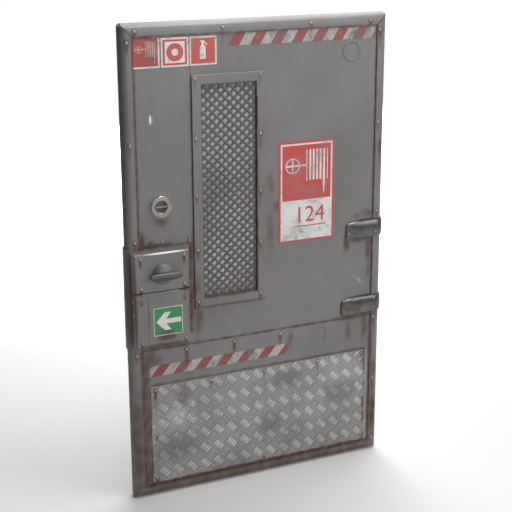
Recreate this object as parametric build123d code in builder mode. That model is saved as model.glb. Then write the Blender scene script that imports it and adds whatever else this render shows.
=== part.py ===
"""Steel fire door leaf with wired vision panel, surface lock and two strap hinges.

Millimetres. X runs across the leaf, +Z is up and the push face looks to -Y. The origin lies on
the jamb face of the lower hinge, in the middle of its screw holes.
"""

import os

from build123d import *

# Leaf
leaf_width = 1250
leaf_height = 2100
leaf_thick = 72
rim_width = 54
rim_wall = 3
corner_cut = 16
sheet_thick = 2
lap_top = 698
lap_under = 40

# Hinges
hinge_over_lap = 58
hinge_spacing = 368
hinge_height = 88
upper_strap_reach = 196
lower_strap_reach = 215
strap_thick = 5
strap_crown = 9
strap_tip_drop = 30
strap_tip_run = 105
strap_tip_round = 8
web_setback = 7
knuckle_r = 10
knuckle_share = 30
knuckle_gap = 1
pin_r = 6
pin_head_r = 8.5
pin_head = 6
pin_head_round = 2
jamb_plate_thick = 6
jamb_plate_depth = 70
jamb_hole_r = 4.5
jamb_sink_r = 8
jamb_hole_depth_pitch = 40
jamb_hole_height_pitch = 60
pivot_setback = 47
pivot_behind_leaf = 12

# Vision panel
vision_from_left = 305
vision_from_top = 221
vision_over_lap = 162
vision_width = 341
vision_face = 42
vision_raise = 10
vision_bevel = 2.5
vision_rebate = 15
vision_return = 6
stile_sheet_gap = 3
mesh_pitch = 41
mesh_wire = 8
mesh_thick = 4
glass_thick = 10
liner_wall = 10

# Kick plate, its gaps to the rims
kick_gap_left = 33
kick_gap_right = 14
kick_gap_bottom = 9
kick_height = 464
kick_thick = 3

# Lock covers and edge guard, stacked up from the lap
lock_from_left = 12
lock_width = 248
lock_over_lap = 32
lock_cover_height = 247
handle_over_split = 79
lock_over_handle = 95
lock_raise = 55
lock_round = 8
lock_wall = 3
lock_split_gap = 1
stile_sheet_over_lock = 9
guard_over_lock = 14
guard_under_lock = 18
guard_thick = 6

# Handle
handle_from_left = 140
spindle_r = 6
boss_r = 47.5
boss_height = 26
boss_neck_r = 17
boss_edge = 3
boss_belly = 4.4
grip_length = 140
grip_depth = 23
grip_rise = 13
grip_drop = 22
grip_end = 8
grip_crown = 12
grip_corner = 5
grip_round = 3
back_plate_width = 120
back_plate_height = 240
back_plate_corner = 14
back_plate_thick = 4

# Key turn and blanking cap
turn_from_left = 158
turn_over_handle = 279
rosette_r = 46
rosette_raise = 8
rosette_round = 3
plug_r = 26.5
plug_sink = 6
plug_depth = 14
turn_bar_width = 9
cap_from_right = 182
cap_from_top = 161
cap_r = 43
cap_lip = 1
cap_groove_r = 37

# Clearances
turn_fit = 0.4
pin_fit = 0.1
press_gap = 0.05
lay_gap = 0.2
drop_in_gap = 0.5
spindle_clear = 2

# Places that follow from the above
pivot_x = -(knuckle_r + drop_in_gap)
pivot_y = -pivot_setback
leaf_right = pivot_x - knuckle_r - lay_gap - press_gap
leaf_left = leaf_right - leaf_width
leaf_bottom = -(lap_top + hinge_over_lap)
leaf_top = leaf_bottom + leaf_height
leaf_back = pivot_y - pivot_behind_leaf
leaf_front = leaf_back - leaf_thick
mid_x = (leaf_left + leaf_right) / 2
mid_y = (leaf_front + leaf_back) / 2
mid_z = (leaf_bottom + leaf_top) / 2
nose_r = leaf_thick / 2
lap_front = leaf_front + rim_wall
panel_front = lap_front + sheet_thick
panel_back = panel_front + sheet_thick
back_face = leaf_back - rim_wall
back_inner = back_face - sheet_thick
sheet_left = leaf_left + nose_r
sheet_right = leaf_right - nose_r
sheet_bottom = leaf_bottom + nose_r
sheet_top = leaf_top - nose_r
lap_z = leaf_bottom + lap_top

vision_left = leaf_left + vision_from_left
vision_bottom = lap_z + vision_over_lap
vision_height = leaf_top - vision_from_top - vision_bottom
vision_x = vision_left + vision_width / 2
vision_z = vision_bottom + vision_height / 2
opening_w = vision_width - 2 * vision_face
opening_h = vision_height - 2 * vision_face
pane_w = opening_w + 2 * vision_rebate
pane_h = opening_h + 2 * vision_rebate
mesh_front = panel_front + vision_return
glass_front = mesh_front + mesh_thick
glass_back = glass_front + glass_thick
liner_w = pane_w - 2 * vision_rebate + 2 * liner_wall
liner_h = pane_h - 2 * vision_rebate + 2 * liner_wall

lock_left = leaf_left + lock_from_left
lock_right = lock_left + lock_width
lock_front = panel_front - lock_raise
lock_bottom = lap_z + lock_over_lap
lock_split = lock_bottom + lock_cover_height
handle_x = leaf_left + handle_from_left
handle_z = lock_split + handle_over_split
lock_top = handle_z + lock_over_handle
turn_x = leaf_left + turn_from_left
turn_z = handle_z + turn_over_handle
cap_x = leaf_right - cap_from_right
cap_z = leaf_top - cap_from_top

os.makedirs("parts", exist_ok=True)


def export(part, name):
    part.label = name
    export_step(part, f"parts/{name}.step")


def upright(y):
    """Plane of the leaf at depth y, its local axes X and Z, growing to the front."""
    return Plane.XZ.offset(-y)


def slab(x0, x1, z0, z1, front, back, mode=Mode.ADD):
    """Adds a plain slab between its two faces to the part being built, or cuts it out."""
    with Locations(((x0 + x1) / 2, (front + back) / 2, (z0 + z1) / 2)):
        Box(x1 - x0, back - front, z1 - z0, mode=mode)


def bore(x, z, radius, front, back):
    """Cuts a round hole through the leaf's thickness."""
    with Locations((x, (front + back) / 2, z)):
        Cylinder(radius, back - front, rotation=(90, 0, 0), mode=Mode.SUBTRACT)


def window(width, height, front, back):
    """Cuts a hole in the middle of the vision panel."""
    slab(vision_x - width / 2, vision_x + width / 2, vision_z - height / 2,
         vision_z + height / 2, front, back, Mode.SUBTRACT)


# Rolled rims, mitred at the corners
def rim(origin, inward, along, run, outer, hollow):
    """One rolled channel, cut to its mitred outline and closed at the cut corners.

    Args:
        origin: point on the outer edge, in the middle of the thickness.
        inward: direction from the outer edge to the leaf's middle.
        along: direction the channel runs in.
        run: length before the mitre cuts.
        outer: corners of the mitred length seen from the front.
        hollow: the same for its inside.

    Returns:
        The finished channel.
    """
    flat = rim_width - nose_r
    solids = []
    for wall, outline in ((0, outer), (rim_wall, hollow)):
        with BuildPart() as length:
            with BuildSketch(Plane(origin=origin, x_dir=inward, z_dir=along)):
                with Locations((nose_r, 0)):
                    Circle(nose_r - wall)
                with Locations((nose_r + flat / 2, 0)):
                    Rectangle(flat, leaf_thick - 2 * wall)
            extrude(amount=run / 2, both=True)
            with BuildSketch(upright(leaf_back)):
                with BuildLine():
                    Polyline(*outline, close=True)
                make_face()
            extrude(amount=leaf_thick, mode=Mode.INTERSECT)
        solids.append(length.part)
    with BuildPart() as channel:
        add(solids[0])
        add(solids[1], mode=Mode.SUBTRACT)
    return channel.part


def mitred(edge, low, high, inward, cut):
    """Front outline of a channel as (across, along) pairs, its tips cut off by cut."""
    tip, root = inward * cut / 2, inward * rim_width
    return [
        (edge, low + cut),
        (edge, high - cut),
        (edge + tip, high - cut / 2),
        (edge + root, high - rim_width),
        (edge + root, low + rim_width),
        (edge + tip, low + cut / 2),
    ]


rim_cuts = (corner_cut, corner_cut + 2 * rim_wall)
for name, edge, side in (("left_rim", leaf_left, 1), ("right_rim", leaf_right, -1)):
    outlines = [mitred(edge, leaf_bottom, leaf_top, side, cut) for cut in rim_cuts]
    export(rim((edge, mid_y, mid_z), (side, 0, 0), (0, 0, 1), leaf_height, *outlines), name)
for name, edge, side in (("bottom_rim", leaf_bottom, 1), ("top_rim", leaf_top, -1)):
    outlines = [
        [(x, z) for z, x in mitred(edge, leaf_left, leaf_right, side, cut)] for cut in rim_cuts
    ]
    export(rim((mid_x, mid_y, edge), (0, 0, side), (1, 0, 0), leaf_width, *outlines), name)

# Sheets
with BuildPart() as front_sheet:
    slab(sheet_left, sheet_right, lap_z - lap_under, sheet_top, panel_front, panel_back)
    window(pane_w + 2 * drop_in_gap, pane_h + 2 * drop_in_gap, panel_front, panel_back)
    bore(turn_x, turn_z, plug_r + turn_fit, panel_front, panel_back)
    bore(handle_x, handle_z, spindle_r + spindle_clear, panel_front, panel_back)
    bore(cap_x, cap_z, cap_r + drop_in_gap, panel_front, panel_back)
export(front_sheet.part, "front_sheet")

with BuildPart() as lower_sheet:
    slab(sheet_left, sheet_right, sheet_bottom, lap_z, lap_front, panel_front)
export(lower_sheet.part, "lower_sheet")

with BuildPart() as stile_sheet:
    slab(sheet_left, vision_left - stile_sheet_gap, lock_top + stile_sheet_over_lock, sheet_top,
         lap_front, panel_front)
    bore(turn_x, turn_z, plug_r + turn_fit, lap_front, panel_front)
export(stile_sheet.part, "stile_sheet")

with BuildPart() as back_sheet:
    slab(sheet_left, sheet_right, sheet_bottom, sheet_top, back_inner, back_face)
    window(liner_w, liner_h, back_inner, back_face)
    bore(handle_x, handle_z, spindle_r + spindle_clear, back_inner, back_face)
export(back_sheet.part, "back_sheet")

# Vision panel
def vision_ring(back, outside):
    """Flat frame round the opening, bevelled on the face that comes first along outside."""
    with BuildPart() as ring:
        with BuildSketch(upright(back)):
            with Locations((vision_x, vision_z)):
                Rectangle(vision_width, vision_height)
                Rectangle(opening_w, opening_h, mode=Mode.SUBTRACT)
        extrude(amount=vision_raise)
        chamfer(ring.faces().sort_by(outside)[0].edges(), vision_bevel)
    return ring.part


with BuildPart() as vision_frame:
    add(vision_ring(panel_front, Axis.Y))
    with BuildSketch(upright(mesh_front)):
        with Locations((vision_x, vision_z)):
            Rectangle(pane_w, pane_h)
            Rectangle(opening_w, opening_h, mode=Mode.SUBTRACT)
    extrude(amount=vision_return)
export(vision_frame.part, "vision_frame")
export(vision_ring(back_face + vision_raise, Axis.Y.reverse()), "vision_back_frame")

with BuildPart() as vision_glass:
    slab(vision_x - pane_w / 2, vision_x + pane_w / 2, vision_z - pane_h / 2,
         vision_z + pane_h / 2, glass_front, glass_back)
export(vision_glass.part, "vision_glass")

mesh_hole = mesh_pitch / 2**0.5 - mesh_wire
mesh_cols = int((pane_w - mesh_pitch) / mesh_pitch)
mesh_rows = int((pane_h - mesh_pitch) / mesh_pitch)
with BuildPart() as vision_mesh:
    with BuildSketch(upright(glass_front)):
        with Locations((vision_x, vision_z)):
            Rectangle(pane_w, pane_h)
            with GridLocations(mesh_pitch, mesh_pitch, mesh_cols, mesh_rows):
                Rectangle(mesh_hole, mesh_hole, rotation=45, mode=Mode.SUBTRACT)
            with GridLocations(mesh_pitch, mesh_pitch, mesh_cols + 1, mesh_rows + 1):
                Rectangle(mesh_hole, mesh_hole, rotation=45, mode=Mode.SUBTRACT)
    extrude(amount=mesh_thick)
export(vision_mesh.part, "vision_mesh")

with BuildPart() as vision_liner:
    with BuildSketch(upright(back_inner)):
        with Locations((vision_x, vision_z)):
            Rectangle(liner_w + 2 * liner_wall, liner_h + 2 * liner_wall)
            Rectangle(liner_w, liner_h, mode=Mode.SUBTRACT)
    extrude(amount=back_inner - glass_back)
export(vision_liner.part, "vision_liner")

# Kick plate
with BuildPart() as kick_plate:
    kick_bottom = leaf_bottom + rim_width + kick_gap_bottom
    slab(leaf_left + rim_width + kick_gap_left, leaf_right - rim_width - kick_gap_right, kick_bottom,
         kick_bottom + kick_height, lap_front - kick_thick, lap_front)
export(kick_plate.part, "kick_plate")


# Lock covers: two folded boxes, open at the back, notched over the rim
def lock_cover(low, high, with_spindle):
    with BuildPart() as cover:
        slab(lock_left, lock_right, low, high, lock_front, panel_front)
        fillet(cover.faces().sort_by(Axis.Y)[0].edges(), lock_round)
        slab(lock_left + lock_wall, lock_right - lock_wall, low + lock_wall, high - lock_wall,
             lock_front + lock_wall, panel_front, Mode.SUBTRACT)
        slab(lock_left, leaf_left + rim_width + lay_gap, low, high, leaf_front, panel_front,
             Mode.SUBTRACT)
        if with_spindle:
            bore(handle_x, handle_z, spindle_r + turn_fit, lock_front, panel_front)
    return cover.part


export(lock_cover(lock_bottom, lock_split - lock_split_gap / 2, False), "lock_cover")
export(lock_cover(lock_split + lock_split_gap / 2, lock_top, True), "handle_cover")

guard_bottom = lock_bottom - guard_under_lock
guard_top = lock_top + guard_over_lock
with BuildPart() as edge_guard:
    with BuildSketch(Plane.XY.offset(guard_bottom)):
        with Locations((leaf_left + nose_r, mid_y)):
            Circle(nose_r + lay_gap + guard_thick)
            Circle(nose_r + lay_gap, mode=Mode.SUBTRACT)
            Rectangle(2 * nose_r, leaf_thick - 2 * rim_wall, align=(Align.MAX, Align.CENTER),
                      mode=Mode.INTERSECT)
    extrude(amount=guard_top - guard_bottom)
export(edge_guard.part, "edge_guard")


# Handles: a domed boss and a boat-shaped grip on each face, joined by the spindle
def handle_boss(seat, out):
    """Domed boss whose flat sits at depth seat and that grows in direction out along Y."""
    with BuildPart() as boss:
        with BuildSketch(Plane(origin=(handle_x, seat, handle_z), x_dir=(1, 0, 0), z_dir=(0, 0, 1))):
            with BuildLine():
                Line((0, 0), (boss_r, 0))
                Line((boss_r, 0), (boss_r, out * boss_edge))
                SagittaArc((boss_r, out * boss_edge), (boss_neck_r, out * boss_height),
                           -out * boss_belly)
                Line((boss_neck_r, out * boss_height), (0, out * boss_height))
                Line((0, out * boss_height), (0, 0))
            make_face()
        revolve(axis=Axis((handle_x, seat, handle_z), (0, 1, 0)))
    return boss.part


def handle_grip(seat, out):
    """Boat-shaped grip with a crowned outer face, on the boss end at depth seat."""
    half = grip_length / 2
    face, shoulder = out * grip_depth, out * (grip_depth - grip_crown)
    with BuildPart() as grip:
        with BuildSketch(Plane(origin=(handle_x, seat, handle_z), x_dir=(1, 0, 0), z_dir=(0, -1, 0))):
            with BuildLine():
                ThreePointArc((-half, grip_end), (0, grip_rise), (half, grip_end))
                Line((half, grip_end), (half, -grip_end))
                ThreePointArc((half, -grip_end), (0, -grip_drop), (-half, -grip_end))
                Line((-half, -grip_end), (-half, grip_end))
            make_face()
        extrude(amount=-face)
        fillet(grip.edges().filter_by(Axis.Y), grip_corner)
        with BuildSketch(
            Plane(origin=(handle_x - half, seat, handle_z), x_dir=(0, 1, 0), z_dir=(1, 0, 0))
        ):
            with BuildLine():
                ThreePointArc((shoulder, -grip_drop), (face, (grip_rise - grip_drop) / 2),
                              (shoulder, grip_rise))
                Polyline((shoulder, grip_rise), (0, grip_rise), (0, -grip_drop), (shoulder, -grip_drop))
            make_face()
        extrude(amount=grip_length, mode=Mode.INTERSECT)
        fillet(grip.faces().sort_by(Axis.Y)[-1 if out < 0 else 0].edges(), grip_round)
    return grip.part


boss_seat = lock_front - turn_fit
back_seat = back_face + back_plate_thick + turn_fit
export(handle_boss(boss_seat, -1), "handle_boss")
export(handle_grip(boss_seat - boss_height, -1), "handle_grip")
export(handle_boss(back_seat, 1), "back_handle_boss")
export(handle_grip(back_seat + boss_height, 1), "back_handle_grip")

with BuildPart() as handle_spindle:
    with BuildSketch(upright(back_seat)):
        with Locations((handle_x, handle_z)):
            Circle(spindle_r)
    extrude(amount=back_seat - boss_seat)
export(handle_spindle.part, "handle_spindle")

with BuildPart() as back_handle_plate:
    with BuildSketch(upright(back_face + back_plate_thick)):
        with Locations((handle_x, handle_z)):
            RectangleRounded(back_plate_width, back_plate_height, back_plate_corner)
    extrude(amount=back_plate_thick)
    bore(handle_x, handle_z, spindle_r + turn_fit, back_face, back_face + back_plate_thick)
export(back_handle_plate.part, "back_handle_plate")

# Key turn
with BuildPart() as lock_rosette:
    with BuildSketch(upright(lap_front)):
        with Locations((turn_x, turn_z)):
            Circle(rosette_r)
            Circle(plug_r + turn_fit, mode=Mode.SUBTRACT)
    extrude(amount=rosette_raise)
    fillet(lock_rosette.faces().sort_by(Axis.Y)[0].edges(), rosette_round)
export(lock_rosette.part, "lock_rosette")

plug_front = lap_front - rosette_raise + plug_sink
with BuildPart() as lock_plug:
    with BuildSketch(upright(plug_front + plug_depth)):
        with Locations((turn_x, turn_z)):
            Circle(plug_r)
    extrude(amount=plug_depth)
    with BuildSketch(upright(plug_front)):
        with Locations((turn_x, turn_z)):
            Rectangle(2 * plug_r - turn_bar_width, turn_bar_width)
    extrude(amount=plug_sink)
export(lock_plug.part, "lock_plug")

with BuildPart() as back_rosette:
    with BuildSketch(upright(back_face + rosette_raise)):
        with Locations((turn_x, turn_z)):
            Circle(rosette_r)
    extrude(amount=rosette_raise)
    fillet(back_rosette.faces().sort_by(Axis.Y)[-1].edges(), rosette_round)
    with BuildSketch(upright(back_face + rosette_raise)):
        with Locations((turn_x, turn_z)):
            Rectangle(turn_bar_width / 2, plug_r)
    extrude(amount=plug_sink, mode=Mode.SUBTRACT)
export(back_rosette.part, "back_rosette")

with BuildPart() as blanking_cap:
    with BuildSketch(upright(panel_front + 2 * sheet_thick)):
        with Locations((cap_x, cap_z)):
            Circle(cap_r)
    extrude(amount=2 * sheet_thick)
    with BuildSketch(upright(panel_front + sheet_thick)):
        with Locations((cap_x, cap_z)):
            Circle(cap_r - cap_lip)
            Circle(cap_groove_r, mode=Mode.SUBTRACT)
    extrude(amount=sheet_thick, mode=Mode.SUBTRACT)
export(blanking_cap.part, "blanking_cap")


# Hinges
def hinge_strap(z, reach):
    """Pressed strap with a crowned face and a swept tip, bent round the rolled edge to its knuckle."""
    nose_x = leaf_right - nose_r
    inner, outer = nose_r + lay_gap, nose_r + lay_gap + strap_thick
    end = leaf_right - reach
    low, high = z - hinge_height / 2, z + hinge_height / 2
    tip = high - strap_tip_drop
    edge_y, crown_y = mid_y - outer, mid_y - outer - strap_crown
    rim_step = leaf_right - rim_width - lay_gap
    web_end = pivot_y - knuckle_r - web_setback
    with BuildPart() as strap:
        with BuildSketch(Plane.XY.offset(low)):
            with BuildLine():
                Polyline((rim_step, mid_y - inner), (rim_step, panel_front), (end, panel_front),
                         (end, crown_y), (nose_x, crown_y))
                EllipticalCenterArc((nose_x, mid_y), outer, outer + strap_crown, 270, arc_size=90)
                Polyline((nose_x + outer, mid_y), (nose_x + outer, web_end),
                         (nose_x + inner, web_end), (nose_x + inner, mid_y))
                CenterArc((nose_x, mid_y), inner, 0, -90)
                Line((nose_x, mid_y - inner), (rim_step, mid_y - inner))
            make_face()
        extrude(amount=hinge_height)
        with BuildSketch(Plane.YZ.offset(end)):
            with BuildLine():
                ThreePointArc((edge_y, low), (crown_y, z), (edge_y, high))
                Polyline((edge_y, high), (leaf_back, high), (leaf_back, low), (edge_y, low))
            make_face()
        extrude(amount=reach + strap_thick + lay_gap, mode=Mode.INTERSECT)
        with BuildSketch(upright(leaf_back)):
            with BuildLine():
                Line((end, low), (end, tip))
                EllipticalCenterArc((end + strap_tip_run, tip), strap_tip_run, strap_tip_drop, 180,
                                    arc_size=-90)
                Polyline((end + strap_tip_run, high), (nose_x + outer, high), (nose_x + outer, low),
                         (end, low))
            make_face()
        extrude(amount=leaf_back - crown_y, mode=Mode.INTERSECT)
        fillet(strap.edges().filter_by(Axis.Y).group_by(Axis.X)[0].sort_by(Axis.Z)[0],
               strap_tip_round)
        with BuildSketch(Plane.XY.offset(z - knuckle_share / 2)):
            with Locations((nose_x + (inner + outer) / 2, (web_end + pivot_y) / 2)):
                Rectangle(strap_thick, pivot_y - web_end)
            with Locations((pivot_x, pivot_y)):
                Circle(knuckle_r)
                Circle(pin_r + pin_fit, mode=Mode.SUBTRACT)
        extrude(amount=knuckle_share)
    return strap.part


def jamb_plate(z):
    """Plate on the jamb, with the two outer knuckles and four sunk screw holes."""
    share = (hinge_height - knuckle_share) / 2 - knuckle_gap
    with BuildPart() as plate:
        with BuildSketch(Plane.XY.offset(z - hinge_height / 2)):
            with Locations((-jamb_plate_thick / 2, 0)):
                Rectangle(jamb_plate_thick, jamb_plate_depth)
        extrude(amount=hinge_height)
        for low in (z - hinge_height / 2, z + hinge_height / 2 - share):
            with BuildSketch(Plane.XY.offset(low)):
                with Locations((-jamb_plate_thick / 2, (pivot_y - jamb_plate_depth / 2) / 2)):
                    Rectangle(jamb_plate_thick, -pivot_y - jamb_plate_depth / 2)
                with Locations((pivot_x, pivot_y)):
                    Circle(knuckle_r)
                    Circle(pin_r + press_gap, mode=Mode.SUBTRACT)
            extrude(amount=share)
        with Locations(Plane(origin=(-jamb_plate_thick, 0, z), x_dir=(0, 1, 0), z_dir=(-1, 0, 0))):
            with GridLocations(jamb_hole_depth_pitch, jamb_hole_height_pitch, 2, 2):
                CounterSinkHole(jamb_hole_r, jamb_sink_r)
    return plate.part


def hinge_pin(z):
    with BuildPart() as pin:
        with Locations((pivot_x, pivot_y, z)):
            Cylinder(pin_r, hinge_height + 2 * press_gap)
        for side in (-1, 1):
            middle = z + side * (hinge_height / 2 + press_gap + pin_head / 2)
            with Locations((pivot_x, pivot_y, middle)):
                Cylinder(pin_head_r, pin_head)
        for end in (0, -1):
            fillet(pin.faces().sort_by(Axis.Z)[end].edges(), pin_head_round)
    return pin.part


for name, z, reach in (
    ("lower", 0, lower_strap_reach),
    ("upper", hinge_spacing, upper_strap_reach),
):
    export(hinge_strap(z, reach), f"{name}_strap")
    export(jamb_plate(z), f"{name}_jamb_plate")
    export(hinge_pin(z), f"{name}_pin")
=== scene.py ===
"""Looks of a weathered steel fire door: sheets, rims, guard wires, tread bars, signs, rivets and rust."""

import logging
import math
from collections.abc import Iterable, Sequence
from dataclasses import dataclass, field
from enum import Enum

import bmesh
import bpy
import numpy as np
from mathutils import Matrix, Vector


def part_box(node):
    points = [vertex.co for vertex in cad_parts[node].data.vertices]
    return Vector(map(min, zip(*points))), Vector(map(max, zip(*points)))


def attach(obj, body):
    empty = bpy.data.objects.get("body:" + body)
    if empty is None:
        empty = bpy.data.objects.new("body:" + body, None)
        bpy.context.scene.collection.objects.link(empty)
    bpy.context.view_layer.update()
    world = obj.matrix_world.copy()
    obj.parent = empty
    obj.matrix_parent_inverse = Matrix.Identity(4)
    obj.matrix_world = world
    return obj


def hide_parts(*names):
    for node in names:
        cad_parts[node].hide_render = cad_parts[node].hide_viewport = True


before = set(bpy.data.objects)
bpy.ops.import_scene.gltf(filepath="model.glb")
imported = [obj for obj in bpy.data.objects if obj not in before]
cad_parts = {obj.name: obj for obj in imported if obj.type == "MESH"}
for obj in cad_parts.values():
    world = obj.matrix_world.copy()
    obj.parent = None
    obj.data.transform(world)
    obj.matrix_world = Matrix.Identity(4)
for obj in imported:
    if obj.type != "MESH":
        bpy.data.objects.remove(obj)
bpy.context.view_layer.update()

MM = 0.001
SLANT = math.sqrt(0.5)
WELD = 0.005 * MM
log = logging.getLogger("fire_door")

Material = bpy.types.Material
Piece = bpy.types.Object
Point = tuple[float, float]
Place = tuple[float, float, float]
Colour = tuple[float, float, float]
Box = tuple[float, float, float, float]


class Slot(Enum):
    """Material slots of the record, passed along with each piece."""

    PAINT = "grey_paint"
    WIRE = "mesh_steel"
    PANE = "pane"
    TREAD = "tread_plate"
    DARK = "dark_steel"
    BRIGHT = "bright_steel"


class Side(Enum):
    """Edges of the leaf that carry a rolled rim."""

    LEFT = "left_rim"
    RIGHT = "right_rim"
    TOP = "top_rim"
    BOTTOM = "bottom_rim"


class Lean(Enum):
    """Which way a diagonal bar leans, as the sign of its rise from left to right."""

    RISING = 1
    FALLING = -1


# Meshes worked out as arrays


def together(*parts: np.ndarray | float) -> np.ndarray:
    """Points whose coordinates are the given arrays and numbers, spread to one shape."""
    return np.stack(np.broadcast_arrays(*parts), axis=-1)


def direction(angle: float) -> Point:
    """Cosine and sine of an angle in degrees."""
    return math.cos(math.radians(angle)), math.sin(math.radians(angle))


@dataclass
class Form:
    """Points and faces of a piece while it is worked out.

    Faces are kept as blocks of equal-sided faces, and rust holds one number for each point.
    """

    points: np.ndarray
    faces: list[np.ndarray]
    rust: np.ndarray | None = None

    @staticmethod
    def grid(points: np.ndarray, wrap_u: bool = False, wrap_v: bool = False) -> "Form":
        """Quads between the neighbours of a grid of points.

        Args:
            points: array of shape (u, v, 3).
            wrap_u: whether the last row joins the first.
            wrap_v: whether the last column joins the first.

        Returns:
            The form with its points in row order.
        """
        count_u, count_v = points.shape[:2]
        index = np.arange(count_u * count_v).reshape(count_u, count_v)
        if wrap_u:
            index = np.vstack([index, index[:1]])
        if wrap_v:
            index = np.hstack([index, index[:, :1]])
        quads = together(index[:-1, :-1], index[1:, :-1], index[1:, 1:], index[:-1, 1:])
        return Form(points.reshape(-1, 3), [quads.reshape(-1, 4)])

    @staticmethod
    def tube(rings: np.ndarray) -> "Form":
        """Closed rings in a row, with both ends closed by a fan round their middle point.

        Args:
            rings: array of shape (rings, points round each ring, 3).

        Returns:
            The closed form.
        """
        around = rings.shape[1]
        form = Form.grid(rings, wrap_v=True)
        first = np.arange(around)
        last = first + (len(rings) - 1) * around
        middle = len(form.points)
        form.points = np.vstack([form.points, rings[0].mean(0), rings[-1].mean(0)])
        form.faces += [
            together(middle, first, np.roll(first, -1)),
            together(middle + 1, np.roll(last, -1), last),
        ]
        return form

    @staticmethod
    def slab(outline: np.ndarray, front: float, back: float) -> "Form":
        """A flat plate that looks to -Y: an outline in x and z carried from its front to its back.

        Args:
            outline: points (n, 2) in order round a shape that its middle point sees whole.
            front: y of the face.
            back: y of the back.

        Returns:
            The closed form.
        """
        return Form.tube(together(outline[:, 0], np.array([[front], [back]]), outline[:, 1]))

    @staticmethod
    def joined(forms: Iterable["Form"]) -> "Form":
        """Several forms as one, each keeping its own points."""
        forms = list(forms)
        starts = np.cumsum([0] + [len(form.points) for form in forms])
        faces = [block + start for form, start in zip(forms, starts) for block in form.faces]
        rust = None
        if all(form.rust is not None for form in forms):
            rust = np.concatenate([form.rust for form in forms])
        return Form(np.vstack([form.points for form in forms]), faces, rust)

    def copies(self, points: np.ndarray) -> "Form":
        """The form's faces over each of several sets of points (copies, points, 3)."""
        steps = np.arange(len(points)) * points.shape[1]
        faces = [(block[None] + steps[:, None, None]).reshape(-1, block.shape[1]) for block in self.faces]
        return Form(points.reshape(-1, 3), faces)

    def repeated(self, places: np.ndarray) -> "Form":
        """Copies of the form, each moved by one row of places."""
        return self.copies(self.points[None] + places[:, None])

    def thickened(self, depth: float) -> "Form":
        """A sheet given its back: the points again at a depth along y, and a wall on each open edge.

        An open edge is one that only one face has.
        """
        count = len(self.points)
        sides = [together(block, np.roll(block, -1, axis=1)).reshape(-1, 2) for block in self.faces]
        edges = np.vstack(sides)
        _, first, uses = np.unique(np.sort(edges, axis=1), axis=0, return_index=True, return_counts=True)
        rim = edges[first[uses == 1]]
        begin, end = rim.T
        walls = together(end, begin, begin + count, end + count)
        points = np.vstack([self.points, self.points + np.array([0, depth, 0])])
        faces = self.faces + [block[:, ::-1] + count for block in self.faces] + [walls]
        rust = None if self.rust is None else np.concatenate([self.rust, self.rust])
        return Form(points, faces, rust)

    def welded(self) -> "Form":
        """The form with points that lie in one place made one, and points without a face left out."""
        keys = np.round(self.points / WELD).astype(np.int64)
        _, first, index = np.unique(keys, axis=0, return_index=True, return_inverse=True)
        faces = [index.reshape(-1)[block] for block in self.faces]
        used = np.unique(np.concatenate([block.ravel() for block in faces]))
        place = np.zeros(len(first), dtype=np.int64)
        place[used] = np.arange(len(used))
        rust = None if self.rust is None else self.rust[first][used]
        return Form(self.points[first][used], [place[block] for block in faces], rust)

    def outward(self) -> "Form":
        """The closed form with its faces turned outwards, by the sign of the volume they close in."""
        centre = self.points.mean(0)
        volume = 0.0
        for block in self.faces:
            corners = self.points[block] - centre
            for k in range(1, block.shape[1] - 1):
                normal = np.cross(corners[:, k], corners[:, k + 1])
                volume += np.einsum("ij,ij->i", corners[:, 0], normal).sum()
        if volume < 0:
            self.faces = [block[:, ::-1] for block in self.faces]
        return self

    def build(self, name: str, material: Material, sharp: float = 35.0) -> Piece:
        """Puts the form into a Blender object at the origin.

        Args:
            name: name of the piece.
            material: finish of the whole piece.
            sharp: angle in degrees over which an edge stays sharp.

        Returns:
            The new object, linked to the scene.
        """
        self.outward()
        mesh = bpy.data.meshes.new(name)
        mesh.from_pydata(self.points.tolist(), [], [face for block in self.faces for face in block.tolist()])
        mesh.polygons.foreach_set("use_smooth", np.ones(len(mesh.polygons), dtype=bool))
        mesh.set_sharp_from_angle(angle=math.radians(sharp))
        if self.rust is not None:
            layer = mesh.attributes.new("rust", "FLOAT", "POINT")
            layer.data.foreach_set("value", self.rust.astype(np.float32))
        mesh.materials.append(material)
        piece = bpy.data.objects.new(name, mesh)
        bpy.context.scene.collection.objects.link(piece)
        return piece


def settle(piece: Piece, slot: Slot, body: str = "leaf", replaces: Sequence[str] = ()) -> None:
    """Ties a finished piece to its body, hides the nodes it stands for, and logs it.

    Args:
        piece: the finished object.
        slot: the record's slot for its finish; not used.
        body: the body it moves with.
        replaces: names of the solids it stands for.
    """
    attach(piece, body)
    if replaces:
        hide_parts(*replaces)
    log.info("%s: %d faces on %s", piece.name, len(piece.data.polygons), body)


def smooth_copy(node: str, material: Material) -> Piece:
    """A merged copy of a solid with smooth curved faces and its own finish.

    Args:
        node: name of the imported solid.
        material: finish of the copy.

    Returns:
        The new object, linked to the scene.
    """
    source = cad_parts[node].data
    points = np.zeros(len(source.vertices) * 3)
    source.vertices.foreach_get("co", points)
    source.calc_loop_triangles()
    triangles = np.zeros(len(source.loop_triangles) * 3, dtype=np.int64)
    source.loop_triangles.foreach_get("vertices", triangles)
    form = Form(points.reshape(-1, 3), [triangles.reshape(-1, 3)]).welded()
    return form.build(f"{node}_skin", material, 30)


def dress(node: str, material: Material, slot: Slot, body: str = "leaf") -> None:
    """Puts a smooth copy of a solid in its place, on its body."""
    settle(smooth_copy(node, material), slot, body, [node])


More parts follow.
